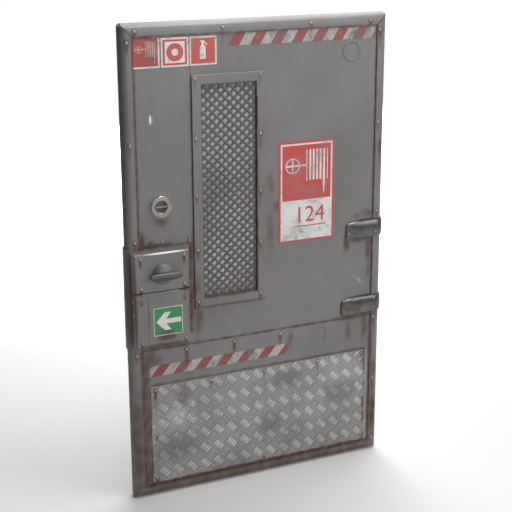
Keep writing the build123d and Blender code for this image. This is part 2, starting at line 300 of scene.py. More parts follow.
def behind_plane(piece: Piece, level: float) -> None:
    """Cuts a closed piece at a plane of even y and keeps what lies behind it, closed again."""
    work = bmesh.new()
    work.from_mesh(piece.data)
    cut = bmesh.ops.bisect_plane(work, geom=[*work.verts, *work.edges, *work.faces], plane_co=(0, level, 0),
                                 plane_no=(0, -1, 0), clear_outer=True)
    rim = [edge for edge in cut["geom_cut"] if isinstance(edge, bmesh.types.BMEdge)]
    bmesh.ops.edgeloop_fill(work, edges=rim)
    bmesh.ops.recalc_face_normals(work, faces=work.faces)
    work.to_mesh(piece.data)
    work.free()


def rectangle(left: float, right: float, low: float, high: float, corner: float = 0.0) -> np.ndarray:
    """Outline of a rectangle whose corners are quarter circles.

    Args:
        left, right: its reach in x.
        low, high: its reach in z.
        corner: radius of the corners.

    Returns:
        Points (n, 2) in order.
    """
    if corner <= 0:
        return np.array([(left, low), (right, low), (right, high), (left, high)])
    quarter = np.linspace(0, np.pi / 2, 5)
    turns = [quarter + k * np.pi / 2 for k in range(4)]
    middles = ((right - corner, high - corner), (left + corner, high - corner),
               (left + corner, low + corner), (right - corner, low + corner))
    return np.vstack([
        together(x + corner * np.cos(turn), z + corner * np.sin(turn)) for (x, z), turn in zip(middles, turns)
    ])


def ring(centre: Point, profile: np.ndarray, count: int = 48) -> Form:
    """A turned ring that looks to -Y: a closed profile of radius and y carried round a centre in x and z."""
    turn = np.linspace(0, 2 * np.pi, count, endpoint=False)[:, None]
    reach, y = profile.T
    points = together(centre[0] + reach * np.cos(turn), y, centre[1] + reach * np.sin(turn))
    return Form.grid(points, wrap_u=True, wrap_v=True)


def bead_ring(centre: Point, outer: float, inner: float, rise: float, seat: float) -> Form:
    """A low bead turned round a centre: half an ellipse over its seat, and a foot sunk into that."""
    foot = seat + 1 * MM
    turn = np.linspace(0, np.pi, 7)
    reach = (outer + inner) / 2 + (outer - inner) / 2 * np.cos(turn)
    crown = together(reach, seat - rise * np.sin(turn))
    return ring(centre, np.vstack([crown, [(inner, foot), (outer, foot)]]), 64)


def dome(radius: float, height: float, around: int = 12, rows: int = 4, sunk: float = 0.8 * MM) -> Form:
    """A rivet head at the origin that looks to -Y: a half ellipse turned round its axis, its foot sunk in."""
    rise = np.linspace(0, np.pi / 2, rows + 1)[:-1]
    turn = np.linspace(0, 2 * np.pi, around, endpoint=False)
    reach = np.concatenate([[radius], radius * np.cos(rise)])[:, None]
    depth = np.concatenate([[sunk], -height * np.sin(rise)])[:, None]
    form = Form.tube(together(reach * np.cos(turn), depth, reach * np.sin(turn)))
    form.points[-1, 1] = -height
    return form


def band(path: np.ndarray, width: float, front: float, back: float) -> Form:
    """A flat stroke of even width along a path in x and z: the path moved to both sides along its normal."""
    way = np.gradient(path, axis=0)
    way /= np.linalg.norm(way, axis=1, keepdims=True)
    normal = together(-way[:, 1], way[:, 0]) * width / 2
    sides = [(path + normal, front), (path - normal, front), (path - normal, back), (path + normal, back)]
    rings = np.stack([together(side[:, 0], y, side[:, 1]) for side, y in sides], axis=1)
    return Form.tube(rings)


# Shader maths


class Value:
    """A number that changes over a surface: an output socket whose arithmetic adds Math nodes."""

    def __init__(self, graph: "Graph", socket: bpy.types.NodeSocket) -> None:
        """Keeps the graph that owns the socket, and the socket."""
        self.graph = graph
        self.socket = socket

    def _math(self, operation: str, *values: "Value | float") -> "Value":
        """One Math node on this value and others."""
        node = self.graph.node("ShaderNodeMath", {"operation": operation}, dict(enumerate(values)))
        return Value(self.graph, node.outputs[0])

    def __add__(self, other: "Value | float") -> "Value":
        """Sum."""
        return self._math("ADD", self, other)

    __radd__ = __add__

    def __sub__(self, other: "Value | float") -> "Value":
        """Difference."""
        return self._math("SUBTRACT", self, other)

    def __rsub__(self, other: float) -> "Value":
        """Difference from a number."""
        return self._math("SUBTRACT", other, self)

    def __mul__(self, other: "Value | float") -> "Value":
        """Product."""
        return self._math("MULTIPLY", self, other)

    __rmul__ = __mul__

    def __truediv__(self, other: "Value | float") -> "Value":
        """Quotient."""
        return self._math("DIVIDE", self, other)

    def __rtruediv__(self, other: float) -> "Value":
        """Quotient of a number."""
        return self._math("DIVIDE", other, self)

    def most(self, other: "Value | float") -> "Value":
        """The larger of two values."""
        return self._math("MAXIMUM", self, other)

    def root(self) -> "Value":
        """Square root."""
        return self._math("SQRT", self)

    def step(self, low: float, high: float) -> "Value":
        """A smooth step from 0 at low to 1 at high, or from 1 to 0 where low is over high."""
        start, end = (0.0, 1.0) if low < high else (1.0, 0.0)
        node = self.graph.node(
            "ShaderNodeMapRange", {"interpolation_type": "SMOOTHSTEP"},
            {0: self, 1: min(low, high), 2: max(low, high), 3: start, 4: end},
        )
        return Value(self.graph, node.outputs[0])


class Graph:
    """The nodes of one material or sky."""

    def __init__(self, owner: Material | bpy.types.World) -> None:
        """Starts with no node at all."""
        owner.use_nodes = True
        self.tree = owner.node_tree
        self.tree.nodes.clear()

    def node(self, kind: str, settings: dict | None = None, sockets: dict | None = None) -> bpy.types.Node:
        """Adds one node.

        Args:
            kind: type of the node.
            settings: its own properties, set before its sockets.
            sockets: what each input takes, by name or number: a value, a socket or a Value.

        Returns:
            The node.
        """
        node = self.tree.nodes.new(kind)
        for key, value in (settings or {}).items():
            setattr(node, key, value)
        for key, value in (sockets or {}).items():
            value = value.socket if isinstance(value, Value) else value
            if isinstance(value, bpy.types.NodeSocket):
                self.tree.links.new(value, node.inputs[key])
            else:
                node.inputs[key].default_value = value
        return node

    def mix(self, factor: Value | float, first: object, second: object) -> bpy.types.NodeSocket:
        """A colour between two others, each a colour or a socket."""
        first, second = (c if isinstance(c, bpy.types.NodeSocket) else (*c, 1.0) for c in (first, second))
        node = self.node("ShaderNodeMix", {"data_type": "RGBA"}, {0: factor, 6: first, 7: second})
        return node.outputs[2]


class Shader(Graph):
    """One material under construction, with a Principled surface."""

    def __init__(self, name: str) -> None:
        """Starts an empty material of that name."""
        self.material = bpy.data.materials.new(name)
        super().__init__(self.material)
        self.place = self.node("ShaderNodeTexCoord").outputs["Object"]

    def spots(self, spots: "Sequence[Spot]") -> Value:
        """The strongest of several elliptical spots at each place, each fading out to its edge."""
        split = self.node("ShaderNodeSeparateXYZ", None, {0: self.place})
        x, z = Value(self, split.outputs["X"]), Value(self, split.outputs["Z"])
        strongest = None
        for spot in spots:
            c, s = direction(spot.angle)
            across = ((x - spot.x) * c + (z - spot.z) * s) / spot.half_x
            along = ((z - spot.z) * c - (x - spot.x) * s) / spot.half_z
            level = (across * across + along * along).root().step(1.0, spot.core) * spot.strength
            strongest = level if strongest is None else strongest.most(level)
        return strongest

    def attribute(self, name: str) -> Value:
        """A number stored at the points of the piece."""
        return Value(self, self.node("ShaderNodeAttribute", {"attribute_name": name}).outputs["Fac"])

    def noise(self, scale: float, detail: float, stretch: Colour = (1, 1, 1)) -> Value:
        """Cloudy noise round 0.5 over the place on the piece, drawn out along an axis by its stretch."""
        place = self.node("ShaderNodeVectorMath", {"operation": "MULTIPLY"}, {0: self.place, 1: stretch})
        node = self.node("ShaderNodeTexNoise", None,
                         {"Vector": place.outputs[0], "Scale": scale, "Detail": detail, "Roughness": 0.55})
        return Value(self, node.outputs[0])

    def bump(self, height: Value, strength: float) -> bpy.types.NodeSocket:
        """Fine relief that only turns the surface's normal."""
        sockets = {"Strength": strength, "Distance": 0.5 * MM, "Height": height}
        return self.node("ShaderNodeBump", None, sockets).outputs[0]

    def surface(self, **sockets: object) -> Material:
        """Closes the material with a Principled surface whose inputs are given by name."""
        names = {key.replace("_", " ").title().replace("Ior", "IOR"): value for key, value in sockets.items()}
        names = {key: (*value, 1.0) if isinstance(value, tuple) else value for key, value in names.items()}
        shader = self.node("ShaderNodeBsdfPrincipled", None, names)
        self.node("ShaderNodeOutputMaterial", None, {"Surface": shader.outputs[0]})
        return self.material


# Finishes


@dataclass(frozen=True)
class Rust:
    """Colours of rust, shared by the finishes."""

    light: Colour = (0.14, 0.063, 0.048)
    dark: Colour = (0.045, 0.026, 0.021)
    stain: Colour = (0.094, 0.06, 0.051)


RUST = Rust()


@dataclass(frozen=True)
class Spot:
    """A place on a piece, in metres, that takes rust, grime, a painted highlight or painted shade: an ellipse
    that fades to its edge.

    The angle turns it, in degrees from x towards z, and the core is the share that doesn't fade.
    """

    x: float
    z: float
    half_x: float
    half_z: float
    strength: float = 1.0
    angle: float = 0.0
    core: float = 0.15


@dataclass(frozen=True)
class WornPaint:
    """Grey paint that is mottled, stained and eaten by rust, with painted highlights in places."""

    name: str
    painted_highlights: tuple[Spot, ...] = ()
    spots: tuple[Spot, ...] = ()
    tone: Colour = (0.193, 0.188, 0.187)
    shade: Colour = (0.16, 0.154, 0.152)
    # Colour of the painted highlights
    bright: Colour = (0.85, 0.84, 0.83)
    roughness: float = 0.4

    def material(self) -> Material:
        """Rust follows the piece's own attribute and its spots, broken up by noise; painted highlights turn
        the paint towards the bright colour at their spots.
        """
        s = Shader(self.name)
        cloud = s.noise(2.6, 4.0)
        drawn = s.noise(24.0, 4.0, (1.0, 1.0, 0.12))
        grain = s.noise(140.0, 3.0)
        blotch = s.noise(34.0, 4.0)
        rust = s.attribute("rust")
        if self.spots:
            rust = rust.most(s.spots(self.spots))
        worn = rust + (blotch - 0.5) * 0.6 + (grain - 0.5) * 0.35
        bare = worn.step(0.52, 0.8)
        stained = (rust * 1.35 + (drawn - 0.5) * 0.5).step(0.05, 0.72)
        paint = s.mix((cloud + (drawn - 0.5) * 0.25).step(0.35, 0.75), self.tone, self.shade)
        paint = s.mix((grain + (blotch - 0.5)).step(0.55, 0.95) * 0.2, paint, RUST.stain)
        paint = s.mix(stained * 0.85, paint, RUST.stain)
        roughness = self.roughness + (cloud - 0.5) * 0.16 + stained * 0.14 + bare * 0.25
        # Painted highlights: the paint turns towards the bright colour and grows glossier at these spots
        if self.painted_highlights:
            shine = (s.spots(self.painted_highlights) + (drawn - 0.5) * 0.2).step(0.15, 0.9)
            paint = s.mix(shine, paint, self.bright)
            roughness = roughness - shine * 0.15
        eaten = s.mix((blotch * 0.6 + grain * 0.4).step(0.38, 0.62), RUST.dark, RUST.light)
        return s.surface(
            base_color=s.mix(bare, paint, eaten),
            roughness=roughness,
            normal=s.bump(grain * 0.4 + blotch * 0.5 - bare * 0.6, 0.35),
        )


@dataclass(frozen=True)
class WornSteel:
    """Bare or blackened steel with rust in patches."""

    name: str
    tone: Colour
    shade: Colour
    roughness: float
    rusty: float
    metallic: float = 0.85

    def material(self) -> Material:
        """Two tones of steel in clouds, with rust where the noise passes a level."""
        s = Shader(self.name)
        cloud = s.noise(18.0, 4.0)
        grain = s.noise(210.0, 3.0)
        eaten = (cloud * 0.65 + grain * 0.35 + self.rusty).step(0.56, 0.74)
        colour = s.mix(cloud.step(0.35, 0.7), self.tone, self.shade)
        brown = s.mix(grain.step(0.35, 0.65), RUST.dark, RUST.light)
        return s.surface(
            base_color=s.mix(eaten, colour, brown),
            metallic=self.metallic * (1 - eaten),
            roughness=self.roughness + (grain - 0.5) * 0.2 + eaten * 0.4,
            normal=s.bump(grain + cloud * 0.5, 0.2),
        )


@dataclass(frozen=True)
class TreadMetal:
    """Worn light alloy of the kick plate, clouded by grime, with painted glare in places."""

    name: str
    tone: Colour
    dark_tone: Colour
    roughness: float
    metallic: float
    smudges: tuple[Spot, ...]
    painted_highlights: tuple[Spot, ...]

    def material(self) -> Material:
        """Clouds of grime and dark smudges, stronger where it rusts, over metal with painted glare in places.
        """
        s = Shader(self.name)
        cloud = s.noise(6.0, 4.0)
        grain = s.noise(120.0, 3.0)
        rust = s.attribute("rust")
        smudge = s.spots(self.smudges)
        # Painted glare: where its spots lie the colour is lifted towards near white and the grime cleared
        bright = s.spots(self.painted_highlights)
        dirt_and_painted_light = (cloud + (grain - 0.5) * 0.3 + rust * 0.4 + smudge * 0.45 - bright * 0.6).step(0.3, 0.95)
        bare = (rust + (grain - 0.5) * 0.4).step(0.3, 0.6)
        colour = s.mix(dirt_and_painted_light * 0.8, s.mix(bright, self.tone, (0.9, 0.9, 0.88)), self.dark_tone)
        return s.surface(
            base_color=s.mix(bare, colour, RUST.light),
            metallic=self.metallic * (1 - dirt_and_painted_light * 0.4 - bare * 0.6),
            roughness=self.roughness + (cloud - 0.5) * 0.3 + dirt_and_painted_light * 0.15 + bare * 0.2 - bright * 0.12,
            normal=s.bump(grain, 0.15),
        )


@dataclass(frozen=True)
class CloudedGlass:
    """Fire glass gone milky, clouded by grime, lighter in the middle and with painted shade along the top and
    bottom of the opening.
    """

    lighter_middle: tuple[Spot, ...]
    painted_shade_edges: tuple[Spot, ...]
    name: str = "clouded_glass"
    tone: Colour = (0.56, 0.555, 0.55)
    dark_tone: Colour = (0.25, 0.235, 0.23)

    def material(self) -> Material:
        """A pale body with clouds of grime and painted shade, and a clear coat."""
        s = Shader(self.name)
        cloud = s.noise(4.0, 4.0)
        grain = s.noise(60.0, 3.0)
        # The middle of the pane is lifted, and painted shade darkens it along the top and bottom of the
        # opening
        lift_and_shade = s.spots(self.lighter_middle) * 0.3 - s.spots(self.painted_shade_edges) * 0.6
        dirt_and_painted_light = (cloud + (grain - 0.5) * 0.3 + 0.2 - lift_and_shade).step(0.4, 0.9)
        return s.surface(
            base_color=s.mix(dirt_and_painted_light, self.tone, self.dark_tone),
            roughness=0.25 + (grain - 0.5) * 0.2,
            coat_weight=0.4,
        )


@dataclass(frozen=True)
class SignFilm:
    """Printed enamel of a sign or a stripe, worn through to the paint."""

    name: str
    tone: Colour
    worn: float = 0.0
    ground: Colour = (0.15, 0.145, 0.14)
    roughness: float = 0.38

    def material(self) -> Material:
        """The printed colour, faded in clouds and worn off in flecks."""
        s = Shader(f"sign_{self.name}")
        cloud = s.noise(11.0, 4.0)
        fleck = s.noise(45.0, 4.0)
        grain = s.noise(160.0, 4.0)
        dull = tuple(0.75 * c + 0.25 * g for c, g in zip(self.tone, self.ground))
        colour = s.mix((cloud + (fleck - 0.5) * 0.5).step(0.35, 0.7), self.tone, dull)
        gone = (grain * 0.3 + fleck * 0.3 + cloud * 0.4 + self.worn).step(0.52, 0.68)
        rust = (s.attribute("rust") * 1.2 + (fleck - 0.5) * 0.4).step(0.15, 0.8)
        return s.surface(
            base_color=s.mix(rust * 0.85, s.mix(gone * 0.8, colour, self.ground), RUST.stain),
            roughness=self.roughness + gone * 0.3,
            normal=s.bump(grain, 0.1),
        )


# The door in its frame


@dataclass
class Leaf:
    """Reference places of the leaf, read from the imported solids, and sizes of its rims, in metres."""

    left: float = field(default_factory=lambda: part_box("left_rim")[0].x)
    right: float = field(default_factory=lambda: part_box("right_rim")[1].x)
    low: float = field(default_factory=lambda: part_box("bottom_rim")[0].z)
    high: float = field(default_factory=lambda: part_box("top_rim")[1].z)
    front: float = field(default_factory=lambda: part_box("left_rim")[0].y)
    back: float = field(default_factory=lambda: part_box("left_rim")[1].y)
    rim: float = 54 * MM
    cut: float = 16 * MM

    @property
    def radius(self) -> float:
        """Radius of the rolled edge, half of the thickness."""
        return (self.back - self.front) / 2

    @property
    def middle(self) -> float:
        """y of the middle plane."""
        return (self.back + self.front) / 2

    @property
    def slant(self) -> float:
        """Angle round the edge at which the cut of a corner begins."""
        return math.asin(1 - self.cut / 2 / self.radius)

    def spot(self, x: float, z: float) -> Point:
        """Row place of a point given in mm from the leaf's upright middle line and from its foot."""
        return (self.left + self.right) / 2 + x * MM, self.low + z * MM

    def row(self, start: Point, end: Point, count: int) -> np.ndarray:
        """Places of evenly spaced fixings between two points given in mm."""
        return np.linspace(self.spot(*start), self.spot(*end), count)

    def pairs(self, x: Sequence[float], z: Sequence[float]) -> np.ndarray:
        """Places at every pair of an x and a z given in mm."""
        return np.array([self.spot(across, up) for up in z for across in x])

    def area(self, x: Point, z: Point) -> Box:
        """Left, right, low and high edge in metres of an area given in mm."""
        (left, low), (right, high) = self.spot(x[0], z[0]), self.spot(x[1], z[1])
        return left, right, low, high

    def spots(self, *places: tuple[float, ...]) -> tuple[Spot, ...]:
        """Spots given in mm: middle, half sizes, strength and, where it is turned, the angle in degrees."""
        return tuple(Spot(*self.spot(x, z), half_x * MM, half_z * MM, *rest)
                     for x, z, half_x, half_z, *rest in places)


@dataclass
class Weather:
    """Where the door rusts: runs below fixings, seams that hold water, and patches."""

    runs: list[tuple[float, ...]] = field(default_factory=list)
    seams: list[tuple[float, ...]] = field(default_factory=list)
    patches: list[tuple[float, ...]] = field(default_factory=list)
    seed: int = 11

    def add_runs(self, places: np.ndarray, width: float, length: float, strength: float) -> None:
        """Adds a run below each place, with lengths and strengths that vary.

        Args:
            places: points (n, 2) in x and z.
            width: half width of a run.
            length: usual length of a run.
            strength: usual strength from 0 to 1.
        """
        chance = np.random.default_rng(self.seed + len(self.runs))
        spread = chance.uniform(0.55, 1.35, (len(places), 2))
        self.runs += [(x, z, width, length * longer, strength * min(stronger, 1.1))
                      for (x, z), (longer, stronger) in zip(places, spread)]

    def at(self, points: np.ndarray) -> np.ndarray:
        """Tendency to rust at points, from 0 to 1.

        A run is a bell across its line that fades down its length, with a ring round its fixing. A seam is a
        bell across the nearest point of a segment. A patch is a bell in both directions. The largest counts,
        and crossed waves make it patchy.

        Args:
            points: array (n, 3).

        Returns:
            Array (n,).
        """
        x, z = points[:, 0], points[:, 2]
        total = np.zeros(len(points))
        for run_x, run_z, width, length, strength in self.runs:
            down = (run_z - z) / length
            fade = np.where(down > 0, np.clip(1 - down, 0, 1), 0) ** 0.7
            drip = fade * np.exp(-(((x - run_x) / (width * (0.6 + 0.5 * fade))) ** 2))
            halo = np.exp(-(((x - run_x) ** 2 + (z - run_z) ** 2) / (1.3 * width) ** 2))
            total = np.maximum(total, strength * np.maximum(drip, halo))
        for x0, z0, x1, z1, width, strength in self.seams:
            way = np.array([x1 - x0, z1 - z0])
            along = np.clip(((x - x0) * way[0] + (z - z0) * way[1]) / (way @ way), 0, 1)
            far = np.hypot(x - x0 - along * way[0], z - z0 - along * way[1])
            total = np.maximum(total, strength * np.exp(-((far / width) ** 2)))
        for spot_x, spot_z, half_x, half_z, strength in self.patches:
            far = ((x - spot_x) / half_x) ** 2 + ((z - spot_z) / half_z) ** 2
            total = np.maximum(total, strength * np.exp(-far))
        patchy = np.sin(x * 61 + 2 * np.sin(z * 23)) * np.sin(z * 47 + 2 * np.sin(x * 29))
        return total * (0.85 + 0.3 * patchy)


@dataclass
class Rivets:
    """Round heads in rows over the leaf."""

    leaf: Leaf
    radius: float = 7.5 * MM
    height: float = 4.5 * MM

    def rows(self) -> dict[str, tuple[float, np.ndarray]]:
        """Each row's name with the y of the face it sits on and its places in x and z."""
        row, pairs = self.leaf.row, self.leaf.pairs
        rim = self.leaf.front + 0.6 * MM
        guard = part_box("vision_frame")[0].y
        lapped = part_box("stile_sheet")[0].y
        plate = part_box("kick_plate")[0].y
        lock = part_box("lock_cover")[0].y
        return {
            "left_rim": (rim, np.vstack([row((-597, 2024), (-597, 1602), 2),
                                         row((-590, 1187), (-597, 683), 2)])),
            "top_rim": (rim, pairs((-562, -174, 241, 535), (2067,))),
            "right_rim": (rim, np.vstack([row((585, 2024), (588, 1202), 3),
                                          row((586, 685), (589, 62), 3)])),
            "guard": (guard, pairs((-305, -5), (1863, 1611, 1360, 1124, 889))),
            "stile_foot": (lapped, row((-464, 1178), (-340, 1172), 2)),
            "lower_sheet": (lapped, row((-364, 676), (327, 676), 4)),
            "kick_plate": (plate, np.vstack([pairs((-518, -249, 13, 290, 527), (510, 87)),
                                             pairs((-517, 531), (296,))])),
            "lock": (lock, pairs((-586, -388), (1130, 999, 754))),
        }

    def build(self, material: Material) -> None:
        """One piece for each row, every head a copy of one dome."""
        head = dome(self.radius, self.height)
        for name, (y, places) in self.rows().items():
            heads = head.repeated(together(places[:, 0], y, places[:, 1]))
            settle(heads.build(f"rivets_{name}", material, 50), Slot.BRIGHT)


@dataclass(frozen=True)
class Dent:
    """A knock in a sheet, in metres: long at an angle in degrees, with a reach over and under that line."""

    x: float
    z: float
    half_long: float
    half_over: float
    half_under: float
    angle: float
    depth: float


@dataclass
class Sheet:
    """One flat sheet of the leaf as a fine grid, gently uneven and dented."""

    node: str
    weather: Weather
    step: float = 7.0 * MM
    cuts: tuple[Box, ...] = ()
    holes: tuple[tuple[Point, float], ...] = ()
    dents: tuple[Dent, ...] = ()
    fine: Box | None = None
    faces_back: bool = False
    flat_edge: float = 60 * MM
    collar_steps: float = 1.5
    collar_rows: int = 4

    def lines(self, low: float, high: float, fine: Point | None) -> np.ndarray:
        """Even grid lines between two edges, with one more between each two where the grid is fine."""
        even = np.linspace(low, high, round((high - low) / self.step) + 1)
        if fine is None:
            return even
        between = (even[1:] + even[:-1]) / 2
        return np.sort(np.concatenate([even, between[(between > fine[0]) & (between < fine[1])]]))

    def unevenness(self, x: np.ndarray, z: np.ndarray) -> np.ndarray:
        """Depth of the hollows: two slow waves, and each dent as a bell with its own reach to either side."""
        wave = 0.18 * MM * (2 + np.sin(x * 9.1 + 1.3 * np.sin(z * 4.3)) + np.sin(z * 7.7 + x * 3.1))
        for dent in self.dents:
            c, s = direction(dent.angle)
            along = (x - dent.x) * c + (z - dent.z) * s
            across = (z - dent.z) * c - (x - dent.x) * s
            half = np.where(across > 0, dent.half_over, dent.half_under)
            wave = wave + dent.depth * np.exp(-((along / dent.half_long) ** 2) - (across / half) ** 2)
        return wave

    def collar(self, x: np.ndarray, z: np.ndarray, middle: np.ndarray, radius: float) -> tuple[Box, Form]:
        """The grid between a round hole and a square of grid lines round it, blended evenly between the two.

        Args:
            x, z: grid lines of the sheet.
            middle: the hole's middle in x and z.
            radius: the hole's radius.

        Returns:
            Left, right, low and high edge of the square, and the grid, flat at y 0.
        """
        reach = radius + self.collar_steps * self.step
        i0, k0 = (np.searchsorted(line, at - reach) - 1 for line, at in zip((x, z), middle))
        i1, k1 = (np.searchsorted(line, at + reach) for line, at in zip((x, z), middle))
        square = np.vstack([
            together(x[i0:i1], z[k0]), together(x[i1], z[k0:k1]),
            together(x[i1:i0:-1], z[k1]), together(x[i0], z[k1:k0:-1]),
        ])
        away = square - middle
        circle = middle + radius * away / np.linalg.norm(away, axis=1, keepdims=True)
        share = np.linspace(0, 1, self.collar_rows)[:, None, None]
        flat = square * (1 - share) + circle * share
        form = Form.grid(together(flat[..., 0], 0.0, flat[..., 1]), wrap_v=True)
        return (x[i0], x[i1], z[k0], z[k1]), form

    def build(self, material: Material, slot: Slot = Slot.PAINT) -> None:
        """A grid over the solid's face with its openings left out, given the solid's thickness."""
        low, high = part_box(self.node)
        x = self.lines(low.x, high.x, self.fine[:2] if self.fine else None)
        z = self.lines(low.z, high.z, self.fine[2:] if self.fine else None)
        sheet = Form.grid(together(x[:, None], 0.0, z))
        collars = [self.collar(x, z, np.array(middle), radius) for middle, radius in self.holes]
        across, _, up = sheet.points[sheet.faces[0]].mean(1).T
        kept = np.ones(len(across), dtype=bool)
        for x0, x1, z0, z1 in (*self.cuts, *(square for square, _ in collars)):
            kept &= ~((across > x0) & (across < x1) & (up > z0) & (up < z1))
        sheet.faces = [sheet.faces[0][kept]]
        sheet = Form.joined([sheet, *(form for _, form in collars)]).welded()
        across, _, up = sheet.points.T
        edge = np.minimum.reduce([across - low.x, high.x - across, up - low.z, high.z - up])
        hollow = self.unevenness(across, up) * np.clip(edge / self.flat_edge, 0, 1)
        inward = -1 if self.faces_back else 1
        sheet.points[:, 1] = (high.y if self.faces_back else low.y) + inward * hollow
        sheet.rust = self.weather.at(sheet.points)
        piece = sheet.thickened(inward * (high.y - low.y)).build(f"{self.node}_face", material)
        settle(piece, slot, replaces=[self.node])


@dataclass
class Rim:
    """A rolled edge channel: flat flanges and a half-round nose, mitred and cut at its corners."""

    side: Side
    leaf: Leaf
    weather: Weather
    wall: float = 3 * MM
    step: float = 12 * MM

    def section(self, inset: float) -> np.ndarray:
        """The channel's line from its front lip round the nose to its back lip, in reach and y.

        The nose is a half circle between the two faces, moved inwards by the inset.
        """
        leaf = self.leaf
        radius, slant, bend = leaf.radius, leaf.slant, leaf.radius - inset
        turn = np.concatenate([np.linspace(0, slant, 9)[:-1], np.linspace(slant, np.pi - slant, 9),
                               np.linspace(np.pi - slant, np.pi, 9)[1:]])
        nose = together(radius - bend * np.sin(turn), leaf.middle - bend * np.cos(turn))
        flat = np.linspace(leaf.rim, radius, 5)[:-1]
        return np.vstack([together(flat, leaf.front + inset), nose, together(flat[::-1], leaf.back - inset)])

    def build(self, material: Material) -> None:
        """The section carried along the edge between its mitres, where each point starts at its own reach.

        The round of the nose starts at the corner's cut instead.
        """
        leaf, side = self.leaf, self.side
        outer, inner = self.section(0), self.section(self.wall)
        reach, y = np.vstack([outer, inner[::-1]]).T
        across = side in (Side.TOP, Side.BOTTOM)
        first, last = (leaf.left, leaf.right) if across else (leaf.low, leaf.high)
        share = np.linspace(0, 1, round((last - first) / self.step) + 1)[:, None]
        trim = np.maximum(reach, leaf.cut - reach)
        along = first + trim + (last - first - 2 * trim) * share
        if across:
            points = together(along, y, leaf.high - reach if side is Side.TOP else leaf.low + reach)
        else:
            points = together(leaf.right - reach if side is Side.RIGHT else leaf.left + reach, y, along)
        form = Form.grid(points, wrap_v=True)
        count = len(reach)
        near = np.arange(len(outer) - 1)
        cap = together(near, near + 1, count - 2 - near, count - 1 - near)
        form.faces += [cap, cap[:, ::-1] + (len(share) - 1) * count]
        form.rust = self.weather.at(form.points)
        settle(form.build(f"{side.value}_roll", material, 40), Slot.PAINT, replaces=[side.value])


@dataclass
class Corners:
    """Flat closers in the four cut corners between the rims."""

    leaf: Leaf
    thick: float = 1.5 * MM
    least: float = 0.01 * MM

    def build(self, material: Material) -> None:
        """Each closer lies on the slant of its cut, as long as the round of the nose leaves it at each y."""
        leaf = self.leaf
        turn = np.linspace(leaf.slant, np.pi - leaf.slant, 13)
        half = np.maximum(leaf.cut / 2 - leaf.radius * (1 - np.sin(turn)), self.least)
        along = np.concatenate([half, -half[::-1]])
        level = leaf.middle - leaf.radius * np.cos(np.concatenate([turn, turn[::-1]]))
        depth = np.array([[0.0], [self.thick]])
        closers = []
        for edge_x, way_x in ((leaf.left, 1), (leaf.right, -1)):
            for edge_z, way_z in ((leaf.low, 1), (leaf.high, -1)):
                rings = together(edge_x + way_x * (leaf.cut / 2 + along + depth), level,
                                 edge_z + way_z * (leaf.cut / 2 - along + depth))
                closers.append(Form.tube(rings).outward())
        settle(Form.joined(closers).build("corner_closers", material, 40), Slot.PAINT)


